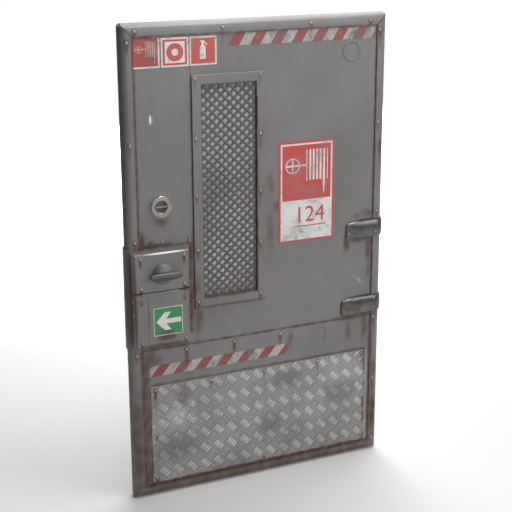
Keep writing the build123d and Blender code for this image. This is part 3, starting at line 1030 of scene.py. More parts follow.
@dataclass
class VisionGuard:
    """The vision panel's frame and the crossed wires behind it."""

    weather: Weather
    face: float = 42 * MM
    bevel: float = 2.5 * MM
    lip: float = 6 * MM
    pitch: float = 40 * MM
    slope: float = 0.945
    wire_half_width: float = 5.6 * MM
    wire_half_thick: float = 2.4 * MM
    flatness: float = 0.5
    over: float = 1.0 * MM
    glass_gap: float = 1.5 * MM
    tuck: float = 2 * MM
    shortest: float = 6 * MM
    face_points: int = 9
    points_across: int = 48
    points_up: int = 140

    def build_frame(self, material: Material) -> None:
        """The section carried round the outline with mitred corners: each point keeps its own inset."""
        low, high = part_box("vision_frame")
        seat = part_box("front_sheet")[0].y
        turn = np.linspace(0, np.pi / 2, 4)
        outer = together(self.bevel * (1 - np.cos(turn)), low.y + self.bevel * (1 - np.sin(turn)))
        inner = together(self.face - outer[::-1, 0], outer[::-1, 1])
        step = self.face - self.lip
        rear = np.array([(self.face, high.y), (step, high.y), (step, seat), (0, seat)])
        flat = np.linspace(self.bevel, self.face - self.bevel, self.face_points)[1:-1]
        inset, y = np.vstack([outer, together(flat, low.y), inner, rear]).T
        share_x = np.linspace(0, 1, self.points_across, endpoint=False)[:, None]
        share_z = np.linspace(0, 1, self.points_up, endpoint=False)[:, None]
        left, right = low.x + inset, high.x - inset
        foot, top = low.z + inset, high.z - inset
        x = np.vstack([left + (right - left) * share_x, right + 0 * share_z,
                       right - (right - left) * share_x, left + 0 * share_z])
        z = np.vstack([foot + 0 * share_x, foot + (top - foot) * share_z,
                       top + 0 * share_x, top - (top - foot) * share_z])
        form = Form.grid(together(x, y, z), wrap_u=True, wrap_v=True)
        form.rust = self.weather.at(form.points)
        settle(form.build("vision_frame_moulding", material, 25), Slot.PAINT, replaces=["vision_frame"])

    def wire(self, line: int, lean: Lean, window: Box, middle: float) -> Form | None:
        """One rolled-flat wire: a superellipse section carried straight along a diagonal.

        Heights are worked out on a square lattice and drawn in by the slope at the end.

        Args:
            line: number of the wire in its layer.
            lean: which diagonal it follows.
            window: left, right, low and high edge of the opening.
            middle: y of its middle.

        Returns:
            The wire, or nothing where the diagonal misses the opening.
        """
        left, right, low, high = window
        sign = lean.value
        offset = line * self.pitch
        span, height = right - left, (high - low) / self.slope
        start = -offset if sign > 0 else offset - height
        begin, finish = max(0.0, start), min(span, start + height)
        if finish - begin < self.shortest:
            return None
        x = np.array([begin, finish])[:, None]
        turn = np.linspace(0, 2 * np.pi, 12, endpoint=False)
        c, s = (np.sign(part) * np.abs(part) ** self.flatness for part in (np.cos(turn), np.sin(turn)))
        wide = self.wire_half_width * c / math.sqrt(2)
        return Form.tube(together(left + x - sign * wide, middle + self.wire_half_thick * s,
                                  low + (sign * x + offset + wide) * self.slope))

    def build_wires(self, material: Material) -> None:
        """Both layers of wires over the opening, the falling one over the rising one."""
        low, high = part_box("vision_frame")
        window = (low.x + self.face - self.tuck, high.x - self.face + self.tuck,
                  low.z + self.face - self.tuck, high.z - self.face + self.tuck)
        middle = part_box("vision_glass")[0].y - self.glass_gap - self.wire_half_thick
        span, height = window[1] - window[0], (window[3] - window[2]) / self.slope
        layers = {Lean.RISING: range(-int(span / self.pitch) - 1, int(height / self.pitch) + 1),
                  Lean.FALLING: range(0, int((span + height) / self.pitch) + 1)}
        for lean, lines in layers.items():
            level = middle if lean is Lean.RISING else middle - self.over
            wires = [self.wire(line, lean, window, level) for line in lines]
            form = Form.joined([wire for wire in wires if wire])
            settle(form.build(f"guard_wires_{lean.name.lower()}", material, 60), Slot.WIRE,
                   replaces=["vision_mesh"] if lean is Lean.RISING else [])


@dataclass
class KickPlate:
    """The tread plate at the foot: a thin sheet with raised lens bars in groups of four."""

    leaf: Leaf
    weather: Weather
    rivets: Rivets
    start: Point = (-18, 343.5)
    pitch_x: float = 66.2 * MM
    pitch_z: float = 77.7 * MM
    bar_length: float = 31 * MM
    bar_width: float = 5.0 * MM
    bar_height: float = 2.6 * MM
    bar_gap: float = 12.4 * MM
    bars: int = 4
    margin: float = 4 * MM
    shortest: float = 9 * MM
    rivet_room: float = 10 * MM
    columns_out: int = 10
    rows_out: int = 5
    sheet_step: float = 5 * MM

    def bar(self) -> Form:
        """A lens bar: its place along it from -1 to 1, its height and its place across it, in metres.

        Its half width falls off as a root and its crown as a parabola to both ends.
        """
        along = np.array([-1, -0.72, -0.3, 0.3, 0.72, 1])[:, None]
        swell = np.sqrt(np.clip(1.04 - along**2, 0.04, 1))
        across = np.array([-1, -0.55, 0.0, 0.55, 1, 0.5, -0.5])
        crown = np.array([0, 0.72, 1, 0.72, 0, -0.35, -0.35])
        wide = across * swell * self.bar_width / 2
        tall = -crown * np.where(crown > 0, np.clip(swell, 0, 1), 1) * self.bar_height
        return Form.tube(together(along, tall, wide))

    def laid(self, x: np.ndarray, z: np.ndarray, lean: Lean) -> Form:
        """Bars with their middles at x and z, each cut short where its line would leave the plate.

        Along its line a bar lies between the two edges in x and in z, and the unit bar is stretched to fit.

        Args:
            x, z: places of the middles.
            lean: which diagonal the bars follow.

        Returns:
            All bars as one form.
        """
        low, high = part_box("kick_plate")
        half = self.bar_length / 2
        reach_x = np.stack([low.x + self.margin - x, high.x - self.margin - x]) / SLANT
        reach_z = np.stack([low.z + self.margin - z, high.z - self.margin - z]) / SLANT * lean.value
        reach_z = np.sort(reach_z, axis=0)
        begin = np.maximum.reduce([reach_x[0], reach_z[0], np.full(len(x), -half)])
        end = np.minimum.reduce([reach_x[1], reach_z[1], np.full(len(x), half)])
        kept = (end - begin > self.shortest) & self.clear_of_rivets(x, z, lean)
        x, z, begin, end = (part[kept, None] for part in (x, z, begin, end))
        unit = self.bar()
        along, tall, wide = unit.points.T
        run = (begin + end + (end - begin) * along) / 2
        return unit.copies(together(x + (run - wide * lean.value) * SLANT, low.y + tall,
                                    z + (run * lean.value + wide) * SLANT))

    def clear_of_rivets(self, x: np.ndarray, z: np.ndarray, lean: Lean) -> np.ndarray:
        """Whether each bar, as a line through its middle, keeps its distance from every rivet."""
        rivets = self.rivets.rows()["kick_plate"][1]
        across, up = rivets[:, 0] - x[..., None], rivets[:, 1] - z[..., None]
        half = self.bar_length / 2
        along = np.clip((across + lean.value * up) * SLANT, -half, half) * SLANT
        return np.hypot(across - along, up - lean.value * along).min(-1) > self.rivet_room

    def build(self, sheet_finish: Material, bar_finishes: dict[Lean, Material]) -> None:
        """The sheet, then both leans of bars: groups stand in a checker, each with its bars side by side."""
        Sheet("kick_plate", self.weather, self.sheet_step).build(sheet_finish, Slot.TREAD)
        start_x, start_z = self.leaf.spot(*self.start)
        steps = (np.arange(self.bars) - (self.bars - 1) / 2) * self.bar_gap * SLANT
        # Each lean takes its own finish: painted lit copies for the rising bars, painted shaded copies for
        # the falling bars
        for lean, finish in bar_finishes.items():
            shift = 0.0 if lean is Lean.RISING else 0.5
            columns = np.arange(-self.columns_out, self.columns_out + 1) + shift
            rows = np.arange(-self.rows_out, self.rows_out + 1) + shift
            grid_x, grid_z = np.meshgrid(columns * self.pitch_x, rows * self.pitch_z)
            x = start_x + grid_x.reshape(-1, 1) - steps * lean.value
            z = start_z + grid_z.reshape(-1, 1) + steps
            form = self.laid(x.ravel(), z.ravel(), lean)
            form.rust = self.weather.at(form.points)
            settle(form.build(f"tread_bars_{lean.name.lower()}", finish, 50), Slot.TREAD)


@dataclass
class Print:
    """A thin printed plate or film that is built up in layers from the face it lies on."""

    name: str
    face: float
    films: dict[str, Material]
    thick: float = 0.8 * MM
    layer: float = 0.25 * MM
    sink: float = 0.8 * MM
    hair: float = 0.012 * MM
    step: float = 5 * MM
    shapes: dict[tuple[str, int], list[Form]] = field(default_factory=dict)

    def front(self, level: int, film: str = "") -> float:
        """y of the face of a layer, with each further shape in one film a hair over the last."""
        below = len(self.shapes.get((film, level), ()))
        return self.face - self.thick - level * self.layer - below * self.hair

    def back(self) -> float:
        """y of the back of every layer, sunk into the sheet's hollows."""
        return self.face + self.sink

    def add(self, film: str, level: int, form: Form) -> None:
        """Keeps a shape in one film at a level."""
        self.shapes.setdefault((film, level), []).append(form)

    def lay(self, film: str, level: int, outline: np.ndarray) -> None:
        """Adds a flat shape in one film at a level."""
        self.add(film, level, Form.slab(outline, self.front(level, film), self.back()))

    def stroke(self, film: str, level: int, path: np.ndarray, width: float) -> None:
        """Adds a stroke in one film at a level."""
        self.add(film, level, band(path, width, self.front(level, film), self.back()))

    def hoop(self, film: str, level: int, centre: Point, outer: float, inner: float) -> None:
        """Adds a flat ring in one film at a level."""
        front, back = self.front(level, film), self.back()
        profile = np.array([(inner, back), (inner, front), (outer, front), (outer, back)])
        self.add(film, level, ring(centre, profile))

    def patch(self, film: str, level: int, corners: np.ndarray, weather: Weather) -> None:
        """Adds a four-cornered shape as a grid blended between its corners, so that rust can run across it.

        Args:
            film: name of the film.
            level: layer it lies in.
            corners: points (4, 2) from low left round to high left.
            weather: where the rust comes from.
        """
        a, b, c, d = corners
        count_u = max(2, round(np.linalg.norm(b - a) / self.step) + 1)
        count_v = max(2, round(np.linalg.norm(d - a) / self.step) + 1)
        u = np.linspace(0, 1, count_u)[:, None, None]
        v = np.linspace(0, 1, count_v)[None, :, None]
        flat = (a * (1 - u) + b * u) * (1 - v) + (d * (1 - u) + c * u) * v
        form = Form.grid(together(flat[..., 0], self.front(level), flat[..., 1]))
        form.rust = weather.at(form.points)
        self.add(film, level, form.thickened(self.back() - self.front(level)))

    def build(self) -> None:
        """One piece for each film and level."""
        for (film, level), forms in self.shapes.items():
            whole = Form.joined([form.outward() for form in forms])
            settle(whole.build(f"{self.name}_{film}_{level}", self.films[film], 30), Slot.PAINT)


@dataclass(frozen=True)
class Tape:
    """A band of leaning stripes, in mm on the leaf.

    Its ends lean by a share of its stripes' own lean, which is the push to the right for each mm of rise.
    """

    name: str
    node: str
    x: Point
    z: Point
    first: float
    pitch: float
    lean: float
    ends: Point


@dataclass
class Signs:
    """Safety signs with plain symbols, and slanted hazard stripes."""

    leaf: Leaf
    weather: Weather
    tapes: tuple[Tape, ...] = (
        Tape("top_stripes", "front_sheet", (-148, 567), (1990, 2042), -148, 99, 0.62, (1.0, 0.0)),
        Tape("low_stripes", "lower_sheet", (-570, 145), (572, 622), -535, 103, 0.85, (1.0, 0.5)),
    )
    films: dict[str, Material] = field(default_factory=dict)
    narrowest: float = 4 * MM
    least_edge: float = 0.5 * MM
    size_of_height: float = 1.35

    def hose(self, sign: Print, box: Box, level: int, ink: str) -> None:
        """A hose symbol in a box: a wheel with a cross on a pipe, and a folded hose that ends in a nozzle."""
        left, right, low, high = box
        wide, tall = right - left, high - low
        wheel = np.array([left + 0.21 * wide, low + 0.63 * tall])
        radius = 0.145 * wide
        spoke = 0.93 * radius
        pipe = np.array([wheel - (spoke, 0), (left + 0.5 * wide, wheel[1])])
        sign.hoop(ink, level, tuple(wheel), radius, radius * 0.86)
        sign.stroke(ink, level, pipe, 0.034 * wide)
        sign.stroke(ink, level, np.array([wheel - (0, spoke), wheel + (0, spoke)]), 0.028 * wide)
        folds = np.linspace(left + 0.5 * wide, left + 0.93 * wide, 7)
        widths = np.array([0.018, 0.04, 0.04, 0.04, 0.04, 0.044, 0.018]) * wide
        feet = low + np.array([0.34, 0.35, 0.35, 0.35, 0.35, 0.24, 0.35]) * tall
        for x, width, foot in zip(folds, widths, feet):
            sign.stroke(ink, level, np.array([(x, foot), (x, low + 0.91 * tall)]), width)
        tip, root, end = folds[5], 0.022 * wide, 0.006 * wide
        high_end, low_end = low + 0.24 * tall, low + 0.09 * tall
        sign.lay(ink, level, np.array([(tip - root, high_end), (tip - end, low_end),
                                       (tip + end, low_end), (tip + root, high_end)]))

    def extinguisher(self, sign: Print, box: Box, level: int) -> None:
        """An extinguisher symbol in a box: a body with round shoulders, a neck, a lever and a bent nozzle."""
        left, right, low, high = box
        wide, tall = right - left, high - low
        middle, half, line = left + 0.48 * wide, 0.12 * wide, 0.04 * wide
        shoulder, neck, lever = low + 0.6 * tall, low + 0.7 * tall, low + 0.88 * tall
        sign.lay("white", level, rectangle(middle - half, middle + half, low + 0.18 * tall, shoulder))
        turn = np.linspace(0, np.pi, 11)
        bow = together(middle + half * np.cos(turn), shoulder + 0.14 * tall * np.sin(turn))
        sign.lay("white", level, bow)
        sign.lay("white", level, rectangle(middle - line, middle + line, neck, low + 0.86 * tall))
        turn = np.linspace(0.5, 0.02, 9) * np.pi
        arc = together(middle + 0.17 * wide * np.cos(turn), neck + 0.13 * tall * np.sin(turn))
        sign.stroke("white", level, arc, line)
        ends = np.array([(middle - 0.1 * wide, lever), (middle + 0.08 * wide, lever)])
        sign.stroke("white", level, ends, line)

    def number(self, sign: Print, text: str, centre: Point, height: float, level: int) -> None:
        """A plain number, made a mesh before it is turned upright and put in its place."""
        curve = bpy.data.curves.new("sign_number", "FONT")
        curve.body = text
        curve.align_x = curve.align_y = "CENTER"
        curve.size = height * self.size_of_height
        curve.extrude = sign.layer / 2
        curve.resolution_u = 3
        writer = bpy.data.objects.new("sign_number_curve", curve)
        bpy.context.scene.collection.objects.link(writer)
        mesh = bpy.data.meshes.new_from_object(writer)
        bpy.data.objects.remove(writer)
        place = Vector((centre[0], sign.front(level), centre[1]))
        mesh.transform(Matrix.Translation(place) @ Matrix.Rotation(math.pi / 2, 4, "X"))
        mesh.materials.clear()
        mesh.materials.append(sign.films["red"])
        piece = bpy.data.objects.new("sign_number", mesh)
        bpy.context.scene.collection.objects.link(piece)
        settle(piece, Slot.PAINT)

    def build_large(self) -> None:
        """The large sign: red over white, each in its own border, with the hose symbol and a number."""
        left, right, low, high = self.leaf.area((88, 365), (1100, 1558))
        sign = Print("large_sign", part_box("front_sheet")[0].y, self.films)
        edge, line = 10 * MM, 8 * MM
        wide, lower = right - left, 0.42 * (high - low)
        sign.lay("red", 0, rectangle(left, right, low, high, 3 * MM))
        sign.lay("white", 1, rectangle(left + edge, right - edge, low + edge, high - edge, 2 * MM))
        upper = (left + edge + line, right - edge - line, low + lower, high - edge - line)
        sign.lay("red", 2, rectangle(*upper))
        self.hose(sign, upper, 3, "white")
        middle = (left + 0.56 * wide, low + 0.63 * lower)
        self.number(sign, "124", middle, 0.4 * lower, 2)
        foot = low + 0.36 * lower
        sign.lay("red", 2, rectangle(left + 0.27 * wide, left + 0.85 * wide, foot, foot + 5 * MM))
        sign.build()

    def build_small(self) -> None:
        """Three small signs along the top: hose, call ring and extinguisher."""
        stile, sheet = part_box("stile_sheet")[0].y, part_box("front_sheet")[0].y
        line = 7 * MM
        places = {"hose_sign": ((-569, -456), stile), "ring_sign": ((-449, -328), stile),
                  "extinguisher_sign": ((-323, -201), sheet)}
        for name, (x, face) in places.items():
            left, right, low, high = self.leaf.area(x, (1917, 2036))
            sign = Print(name, face, self.films)
            sign.lay("white", 0, rectangle(left, right, low, high, 2 * MM))
            if name == "hose_sign":
                inner = (left, right - line, low + line, high)
                sign.lay("worn_red", 1, rectangle(*inner))
                self.hose(sign, inner, 2, "worn_white")
            else:
                inner = (left + line, right - line, low + line, high - line)
                sign.lay("red", 1, rectangle(*inner))
            if name == "extinguisher_sign":
                self.extinguisher(sign, inner, 2)
            elif name == "ring_sign":
                x, z = (left + right) / 2, (low + high) / 2
                half = 0.36 * (right - left)
                sign.lay("white", 2, rectangle(x - half, x + half, z - half, z + half))
                sign.hoop("red", 3, (x, z), half * 0.86, half * 0.34)
            sign.build()

    def build_arrow(self) -> None:
        """The green way-out sign on the lock: a white border and a white arrow to the left."""
        left, right, low, high = self.leaf.area((-533, -400), (779, 905))
        sign = Print("arrow_sign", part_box("lock_cover")[0].y, self.films)
        edge = 3 * MM
        wide, tall = right - left, high - low
        middle = (low + high) / 2
        sign.lay("white", 0, rectangle(left, right, low, high, 2 * MM))
        sign.patch("green", 1, rectangle(left + edge, right - edge, low + edge, high - edge), self.weather)
        tip, notch = left + 0.08 * wide, left + 0.36 * wide
        neck, tail, half = left + 0.424 * wide, right - 0.06 * wide, 0.085 * tall
        sign.lay("white", 2, np.array([(notch, middle), (neck, middle - half), (tail, middle - half),
                                       (tail, middle + half), (neck, middle + half)]))
        for barb in (middle - 0.32 * tall, middle + 0.32 * tall):
            sign.lay("white", 2, np.array([(tip, middle), (notch, middle), (left + 0.6 * wide, barb),
                                           (left + 0.38 * wide, barb)]))
        sign.build()

    def stripes(self, tape: Tape) -> None:
        """A band of stripes, each half a pitch wide and cut off at the band's ends."""
        left, right, low, high = self.leaf.area(tape.x, tape.z)
        push = (high - low) * tape.lean
        lead, trail = (push * share for share in tape.ends)
        film = Print(tape.name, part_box(tape.node)[0].y, self.films, thick=0.35 * MM, layer=0.2 * MM)
        whole = np.array([(left, low), (right - trail, low), (right, high), (left + lead, high)])
        film.patch("faded_white", 0, whole, self.weather)
        first, pitch = self.leaf.spot(tape.first, 0)[0], tape.pitch * MM
        for start in np.arange(first - pitch, right, pitch):
            foot = np.clip([start, start + pitch / 2], left, right - trail)
            head = np.clip([start + push, start + push + pitch / 2], left + lead, right)
            if foot[1] - foot[0] + head[1] - head[0] < self.narrowest:
                continue
            foot[1], head[1] = (max(end, begin + self.least_edge) for begin, end in (foot, head))
            stripe = np.array([(foot[0], low), (foot[1], low), (head[1], high), (head[0], high)])
            film.patch("faded_red", 1, stripe, self.weather)
        film.build()

    def build(self) -> None:
        """All signs and both bands of stripes."""
        films = (
            SignFilm("red", (0.53, 0.068, 0.056), 0.0, (0.24, 0.19, 0.185)),
            SignFilm("white", (0.7, 0.69, 0.675), 0.025, (0.24, 0.23, 0.225)),
            SignFilm("green", (0.035, 0.25, 0.083), -0.02, (0.1, 0.11, 0.09)),
            SignFilm("worn_red", (0.42, 0.055, 0.045), 0.06, (0.13, 0.08, 0.075)),
            SignFilm("worn_white", (0.45, 0.4, 0.38), 0.04, (0.2, 0.1, 0.095)),
            SignFilm("faded_red", (0.28, 0.042, 0.042), 0.045),
            SignFilm("faded_white", (0.41, 0.39, 0.38), 0.045, (0.17, 0.155, 0.15)),
        )
        self.films = {film.name: film.material() for film in films}
        self.build_large()
        self.build_small()
        self.build_arrow()
        for tape in self.tapes:
            self.stripes(tape)


@dataclass
class Hinges:
    """The two crowned straps with their bolts, and the jamb plates and pins that carry them."""

    leaf: Leaf
    bolt_radius: float = 5.5 * MM
    bolt_height: float = 2.2 * MM
    tip_inset: float = 14 * MM
    edge_inset: float = 45 * MM
    bolt_up: float = 28 * MM
    bolt_down: float = 18 * MM
    thick: float = 5 * MM
    crown: float = 9 * MM
    border: float = 9 * MM
    gap: float = 0.25 * MM
    tip_drop: float = 30 * MM
    tip_run: float = 105 * MM
    tip_round: float = 12 * MM
    swell: float = 70 * MM

    def rise(self, node: str, run: np.ndarray, z: np.ndarray, turn: np.ndarray) -> np.ndarray:
        """Height of the strap over the rim's face.

        It bulges as a parabola across, grows smoothly from the tip, dies out as the squared cosine round the
        nose, and falls to its outline as a quarter circle.

        Args:
            node: name of the strap.
            run: distance from the tip.
            z: height on the leaf.
            turn: angle round the nose.

        Returns:
            Array of heights.
        """
        low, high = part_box(node)
        foot, top = self.outline(node, run)
        across = (2 * z - low.z - high.z) / (high.z - low.z)
        grown = np.clip(run / self.swell, 0, 1)
        bulge = self.crown * (1 - across**2) * grown**2 * (3 - 2 * grown) * np.cos(turn) ** 2
        inside = np.clip(np.minimum.reduce([z - foot, top - z, run + 0 * z]), 0, self.border)
        return self.thick + bulge - self.border + np.sqrt(self.border**2 - (self.border - inside) ** 2)

    def outline(self, node: str, run: np.ndarray) -> tuple[np.ndarray, np.ndarray]:
        """Lower and upper edge at a distance from the tip: a round corner below and a swept ellipse above."""
        low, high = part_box(node)
        corner = np.clip(self.tip_round - run, 0, None)
        sweep = np.clip(1 - run / self.tip_run, 0, 1)
        foot = low.z + self.tip_round - np.sqrt(np.clip(self.tip_round**2 - corner**2, 0, None))
        return foot, high.z - self.tip_drop * (1 - np.sqrt(1 - sweep**2))

    def tongue(self, node: str) -> Form:
        """The strap's face and back carried as one section from the tip along the leaf and round its nose."""
        leaf, tip = self.leaf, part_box(node)[0].x
        radius, middle = leaf.radius, leaf.middle
        straight = leaf.right - radius - tip
        ease = self.border * (1 - np.cos(np.linspace(0, np.pi / 2, 6)))
        turn = np.linspace(0, np.pi / 2, 13)[1:]
        level = np.concatenate([ease, np.linspace(self.border, straight, 40)[1:]])
        run = np.concatenate([level, straight + turn * radius])[:, None]
        turn = np.concatenate([np.zeros(len(level)), turn])[:, None]
        foot, top = self.outline(node, run)
        inner = foot + self.border + (top - foot - 2 * self.border) * np.linspace(0, 1, 13)[1:-1]
        z = np.hstack([foot + ease, inner, top - ease[::-1]])
        rise = self.rise(node, run, z, turn)
        base_x = tip + np.minimum(run, straight) + (radius + self.gap) * np.sin(turn)
        base_y = middle - (radius + self.gap) * np.cos(turn)
        face = together(base_x + rise * np.sin(turn), base_y - rise * np.cos(turn), z)
        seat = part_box("front_sheet")[0].y
        back_y = np.where(base_x < leaf.right - leaf.rim, seat, base_y)
        back = together(base_x, back_y, np.hstack([top, foot]))
        return Form.tube(np.concatenate([face, back], axis=1))

    def bolts(self, node: str) -> np.ndarray:
        """Places of a strap's four bolts on its face."""
        low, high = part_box(node)
        x = np.repeat([low.x + self.tip_inset, self.leaf.right - self.edge_inset], 2)
        z = (low.z + high.z) / 2 + np.array([self.bolt_up, -self.bolt_down] * 2)
        return together(x, self.leaf.front - self.gap - self.rise(node, x - low.x, z, 0 * x), z)

    def build(self, strap: Material, bolt: Material, plate: Material, pin: Material) -> None:
        """Straps and bolts that ride the leaf, plates and pins that stay with the jamb."""
        for name in ("lower", "upper"):
            node = f"{name}_strap"
            settle(self.tongue(node).build(f"{name}_strap_tongue", strap, 40), Slot.DARK, replaces=[node])
            bend = smooth_copy(node, strap)
            behind_plane(bend, self.leaf.middle)
            settle(bend, Slot.DARK)
            heads = dome(self.bolt_radius, self.bolt_height).repeated(self.bolts(node))
            settle(heads.build(f"{name}_strap_bolts", bolt, 50), Slot.DARK)
            dress(f"{name}_jamb_plate", plate, Slot.DARK, "jamb")
            dress(f"{name}_pin", pin, Slot.BRIGHT, "jamb")


@dataclass
class KeyTurn:
    """The key turn: a rosette with a washer round it, a rusted plug and the bar that is gripped."""

    outer: float = 57 * MM
    inner: float = 45 * MM
    bead: float = 2.2 * MM
    bar_half: float = 2.8 * MM
    bar_reach: float = 25 * MM
    bar_rise: float = 0.6 * MM
    bar_sunk: float = 1 * MM
    bar_corner: float = 1 * MM

    def build(self, washer: Material, rosette: Material, plug: Material, back: Material) -> None:
        """A low bead turned round the rosette, and a cap worn bright along the plug's bar."""
        low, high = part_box("lock_rosette")
        centre = ((low.x + high.x) / 2, (low.z + high.z) / 2)
        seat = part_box("stile_sheet")[0].y
        bead = bead_ring(centre, self.outer, self.inner, self.bead, seat)
        settle(bead.build("rosette_washer", washer, 40), Slot.PAINT)
        dress("lock_rosette", rosette, Slot.BRIGHT)
        dress("back_rosette", back, Slot.BRIGHT)
        dress("lock_plug", plug, Slot.DARK, "key_turn")
        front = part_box("lock_plug")[0].y
        outline = rectangle(centre[0] - self.bar_reach, centre[0] + self.bar_reach,
                            centre[1] - self.bar_half, centre[1] + self.bar_half, self.bar_corner)
        cap = Form.slab(outline, front - self.bar_rise, front + self.bar_sunk)
        settle(cap.build("plug_bar_cap", rosette, 40), Slot.BRIGHT, "key_turn")


@dataclass
class Lock:
    """The two lock covers and the edge guard, with side rivets and two empty screw rings."""

    leaf: Leaf
    rivets: Rivets
    ring_radius: float = 8 * MM
    ring_bead: float = 1.3 * MM
    side_flatness: float = 0.7
    side_rivets: tuple[float, ...] = (1133, 938, 880, 746)
    rings: tuple[Point, ...] = ((-587, 943), (-388, 944))

    def spots(self) -> tuple[Spot, ...]:
        """Rusty places: below rivets, rings and the sign, along the foot, at the split, a thin line and down
        both sides; the stain down the left side is also painted shade.
        """
        low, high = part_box("lock_cover")
        rusty = [Spot(x, z - 16 * MM, 12 * MM, 34 * MM, 0.85) for x, z in self.rivets.rows()["lock"][1]]
        rusty += self.leaf.spots(*((x, z - 10, 12, 14, 0.6) for x, z in self.rings))
        rusty += self.leaf.spots((-474, 768, 66, 26, 0.75), (-555, 870, 3.5, 170, 0.8))
        rusty += [
            Spot((low.x + high.x) / 2, low.z, 160 * MM, 26 * MM, 0.8),
            Spot(high.x, high.z, 70 * MM, 14 * MM, 0.95),
            Spot(low.x, high.z, 40 * MM, 10 * MM, 0.8),
            Spot(high.x, low.z + 200 * MM, 9 * MM, 260 * MM, 0.6),
            # Rust down the lock's left side and edge guard that also darkens that side as painted shade
            Spot(low.x - 6 * MM, low.z + 200 * MM, 26 * MM, 400 * MM, 0.55),
        ]
        return tuple(rusty)

    def build(self, bolt: Material, rusted: Material) -> None:
        """Covers and guard with rust of their own and a painted highlight along the top bevel, rivet heads
        turned to -X, a bead round each empty hole.
        """
        low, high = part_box("handle_cover")
        # A painted highlight along the top bevel of the handle cover
        edge = Spot((low.x + high.x) / 2 + 18 * MM, high.z - 5 * MM, 150 * MM, 6 * MM)
        paint = WornPaint("lock_paint", (edge,), self.spots(), roughness=0.3).material()
        for node in ("lock_cover", "handle_cover", "edge_guard"):
            dress(node, paint, Slot.PAINT)
        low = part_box("lock_cover")[0]
        head = dome(self.rivets.radius, self.rivets.height * self.side_flatness)
        head.points = head.points[:, [1, 0, 2]]
        level = (low.y + self.leaf.front) / 2
        places = np.array([(low.x, level, self.leaf.spot(0, z)[1]) for z in self.side_rivets])
        settle(head.repeated(places).build("rivets_lock_side", bolt, 50), Slot.BRIGHT)
        turn = np.linspace(0, 2 * np.pi, 8, endpoint=False)
        bead = self.ring_bead * together(np.cos(turn), -np.sin(turn)) + (self.ring_radius, low.y)
        beads = [ring(self.leaf.spot(x, z), bead, 20) for x, z in self.rings]
        settle(Form.joined(beads).build("empty_screw_rings", rusted, 50), Slot.PAINT)


@dataclass
class Handle:
    """The turn handle on both faces: domes, grips and the spindle between them."""

    def build(self, boss: Material, grip: Material, spindle: Material) -> None:
        """Smooth copies that ride the handle."""
        for face in ("", "back_"):
            dress(f"{face}handle_boss", boss, Slot.DARK, "handle")
            dress(f"{face}handle_grip", grip, Slot.DARK, "handle")
        dress("handle_spindle", spindle, Slot.BRIGHT, "handle")


@dataclass
class Skin:
    """The leaf's sheets and rims, with their openings, dents and rust."""

    leaf: Leaf
    weather: Weather
    clear: float = 4 * MM
    cap_gap: float = 0.5 * MM
    lip: float = 6 * MM
    lip_rise: float = 2.5 * MM

    def opening(self, node: str, clear: float) -> Box:
        """Left, right, low and high edge of the cut that a solid needs in a sheet."""
        low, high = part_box(node)
        return low.x - clear, high.x + clear, low.z - clear, high.z + clear

    def build(self, paint: Material, back_paint: Material) -> None:
        """Four sheets, four rims and their corner closers, the blanking cap with its lip, the back's trim."""
        leaf, weather = self.leaf, self.weather
        window = self.opening("vision_glass", 0.0)
        plug, pin = (self.opening(node, self.clear) for node in ("lock_plug", "handle_spindle"))
        low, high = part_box("blanking_cap")
        middle = ((low.x + high.x) / 2, (low.z + high.z) / 2)
        radius = (high.x - low.x) / 2 + self.cap_gap
        fold = Dent(*leaf.spot(494, 882), half_long=42 * MM, half_over=60 * MM, half_under=11 * MM,
                    angle=-41.0, depth=12 * MM)
        knock = Dent(*leaf.spot(-503, 1702), half_long=20 * MM, half_over=8 * MM, half_under=8 * MM,
                     angle=82.0, depth=5 * MM)
        Sheet("front_sheet", weather, step=7.5 * MM, cuts=(window, plug, pin), holes=((middle, radius),),
              dents=(fold,), fine=leaf.area((410, 571), (810, 1000))).build(paint)
        Sheet("lower_sheet", weather).build(paint)
        Sheet("stile_sheet", weather, step=4 * MM, cuts=(plug,), dents=(knock,)).build(paint)
        behind = Weather(seams=weather.seams[:RIM_SEAMS])
        Sheet("back_sheet", behind, step=12 * MM, cuts=(window, pin), faces_back=True).build(back_paint)
        for side in Side:
            Rim(side, leaf, weather).build(paint)
        Corners(leaf).build(paint)
        dress("blanking_cap", paint, Slot.PAINT)
        lip = bead_ring(middle, radius + self.lip / 4, radius - self.lip, self.lip_rise, low.y)
        settle(lip.build("cap_lip", paint, 40), Slot.PAINT)
        for node in ("back_handle_plate", "vision_back_frame", "vision_liner"):
            dress(node, back_paint, Slot.PAINT)


